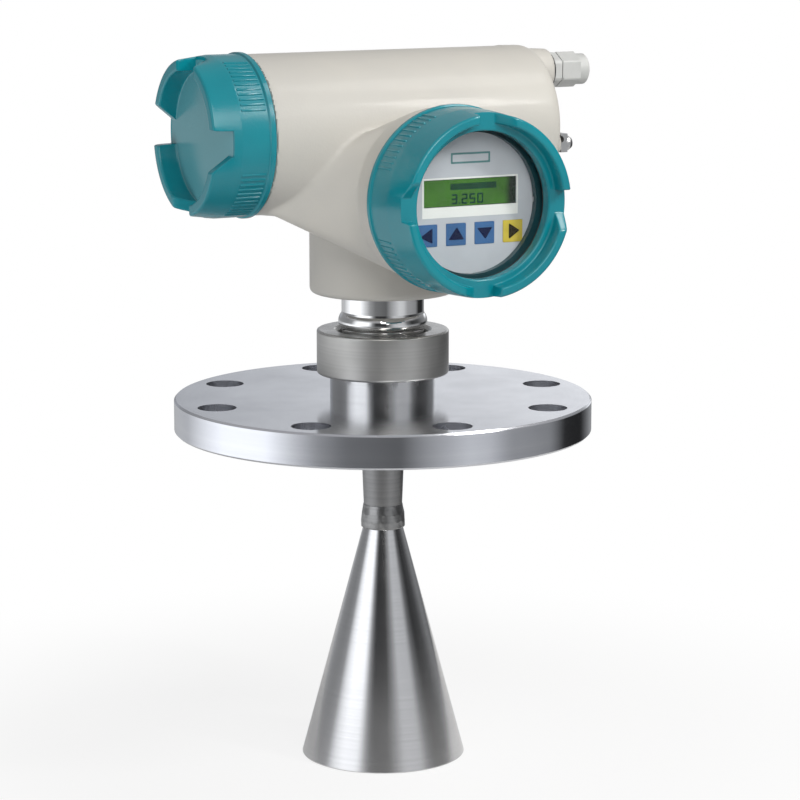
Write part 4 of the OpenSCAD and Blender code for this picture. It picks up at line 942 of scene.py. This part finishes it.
# surroundings
def makeRoom():
    # floor: a disc of rings, clear from below. white to the camera, with a share of matte in its middle
    # that takes the shadow; matte to all other light
    floor = bpy.data.meshes.new("floor")
    n, rings = room["floorColumns"], np.array(room["floorRings"])
    around = np.linspace(0, 2 * np.pi, n, endpoint=False)
    low = cadBox[0][2] - room["floorGap"]
    ring = np.stack([np.outer(rings, np.cos(around)), np.outer(rings, np.sin(around)),
                     np.full((len(rings), n), low)], -1).reshape(-1, 3)
    points = np.vstack([[[0, 0, low]], ring])
    faces = [(0, 1 + i, 1 + (i + 1) % n) for i in range(n)]
    faces += [(1 + k * n + i, 1 + (k + 1) * n + i, 1 + (k + 1) * n + (i + 1) % n, 1 + k * n + (i + 1) % n)
              for k in range(len(rings) - 1) for i in range(n)]
    floor.from_pydata(points.tolist(), [], faces)
    f = Finish("floorPale")
    _, (x, y, _) = f.place()
    radius = (x * x + y * y).power(0.5)
    seen, glossy, through = f.rays()
    shown = seen.most(through).most(glossy * room["inGloss"])
    under = f.node("ShaderNodeNewGeometry", out="Backfacing")
    far = radius.ramp(room["whiteFrom"], room["whiteTo"], room["whiteNear"], 1.0)
    matte = f.node("ShaderNodeBsdfDiffuse", None, {"Color": room["floorColour"]})
    white = f.node("ShaderNodeEmission", None, {"Color": (1, 1, 1, 1), "Strength": 1.0})
    above = f.node("ShaderNodeMixShader", None, {0: shown * far, 1: matte, 2: white})
    clear = f.node("ShaderNodeBsdfTransparent")
    f.output(f.node("ShaderNodeMixShader", None, {0: under, 1: above, 2: clear}))
    floor.materials.append(f.block)
    addObject("floor", floor)


def makeWorld():
    # seen by the camera: white. in gloss: light and dark upright panels by the bearing from the camera,
    # atan2(right, towards), a pale wall behind, a dull ceiling. for soft light: a pale room, dimmer
    # overhead
    world = bpy.data.worlds.new("studio")
    bpy.context.scene.world = world
    f = Finish("studio", world)
    direction = f.node("ShaderNodeTexCoord", out="Generated")
    split = f.node("ShaderNodeSeparateXYZ", None, {0: direction})
    x, y, z = (Wire(f, split.out.node.outputs[n]) for n in range(3))
    a = math.radians(view["azimuth"])
    right = x * math.cos(a) + y * math.sin(a)
    towards = x * math.sin(a) - y * math.cos(a)
    angle = right.maths("ARCTAN2", towards) * (180 / math.pi)
    turn = angle / 360 + 0.5
    rows = []
    for height in ("level", "raised"):
        stops = [((bearing + 180) / 360, (*(bright * share for share in room["panelTint"]), 1))
                 for bearing, bright in studioPanels[height]]
        rows.append(f.node("ShaderNodeValToRGB", {"stops": stops}, {0: turn}))
    panels = f.mix(z.ramp(-0.15, -0.03), *rows)
    behind = angle.size().ramp(138, 156) * z.ramp(0.0, 0.08) * z.ramp(0.17, 0.27, 1.0, 0.0)
    over = z.ramp(0.32, 0.62)
    value = f.mix(behind, panels, f.mix(right.ramp(-0.14, 0.1), (0.22, 0.23, 0.25), (0.6, 0.61, 0.63)))
    value = f.mix(over, value, (0.25, 0.25, 0.255))
    seen, glossy, through = f.rays()
    shown = seen.most(through)
    soft = shown + (1 - shown) * z.ramp(0.3, 1.0, room["ambient"], room["ambient"] * room["overhead"])
    colour = f.mix(glossy, (1.0, 1.0, 1.0), value)
    strength = glossy * room["glossGain"] + (1 - glossy) * soft
    f.output(f.node("ShaderNodeBackground", None, {"Color": colour, "Strength": strength}),
             "ShaderNodeOutputWorld")


def makeCameraAndLamps():
    a = math.radians(view["azimuth"])
    target = np.array([math.cos(a), math.sin(a), 0]) * view["targetRight"]
    target[2] = view["targetRise"]
    back = unit(view["azimuth"], view["elevation"])
    lens = bpy.data.cameras.new("camera")
    lens.sensor_width, lens.sensor_fit, lens.lens = 36.0, "HORIZONTAL", view["lens"]
    lens.clip_start, lens.clip_end = 0.05, 30.0
    camera = addObject("camera", lens)
    placeTowards(camera, target + back * view["distance"], target)
    bpy.context.scene.camera = camera
    for name, (side, rise, far, width, height, power, colour, aim) in lamps.items():
        lamp = bpy.data.lights.new(name, "AREA")
        lamp.shape, lamp.size, lamp.size_y = "ELLIPSE" if width > 0.3 else "RECTANGLE", width, height
        lamp.energy, lamp.color = power, colour
        holder = addObject(name, lamp)
        placeTowards(holder, unit(view["azimuth"] + side, rise) * far + np.array(aim), aim)
        holder.visible_glossy = name != "lowLeft"
    bpy.context.scene.view_settings.view_transform = "Standard"


makeCameraAndLamps()
makeWorld()
makeRoom()
print("stage: camera, lamps and room")
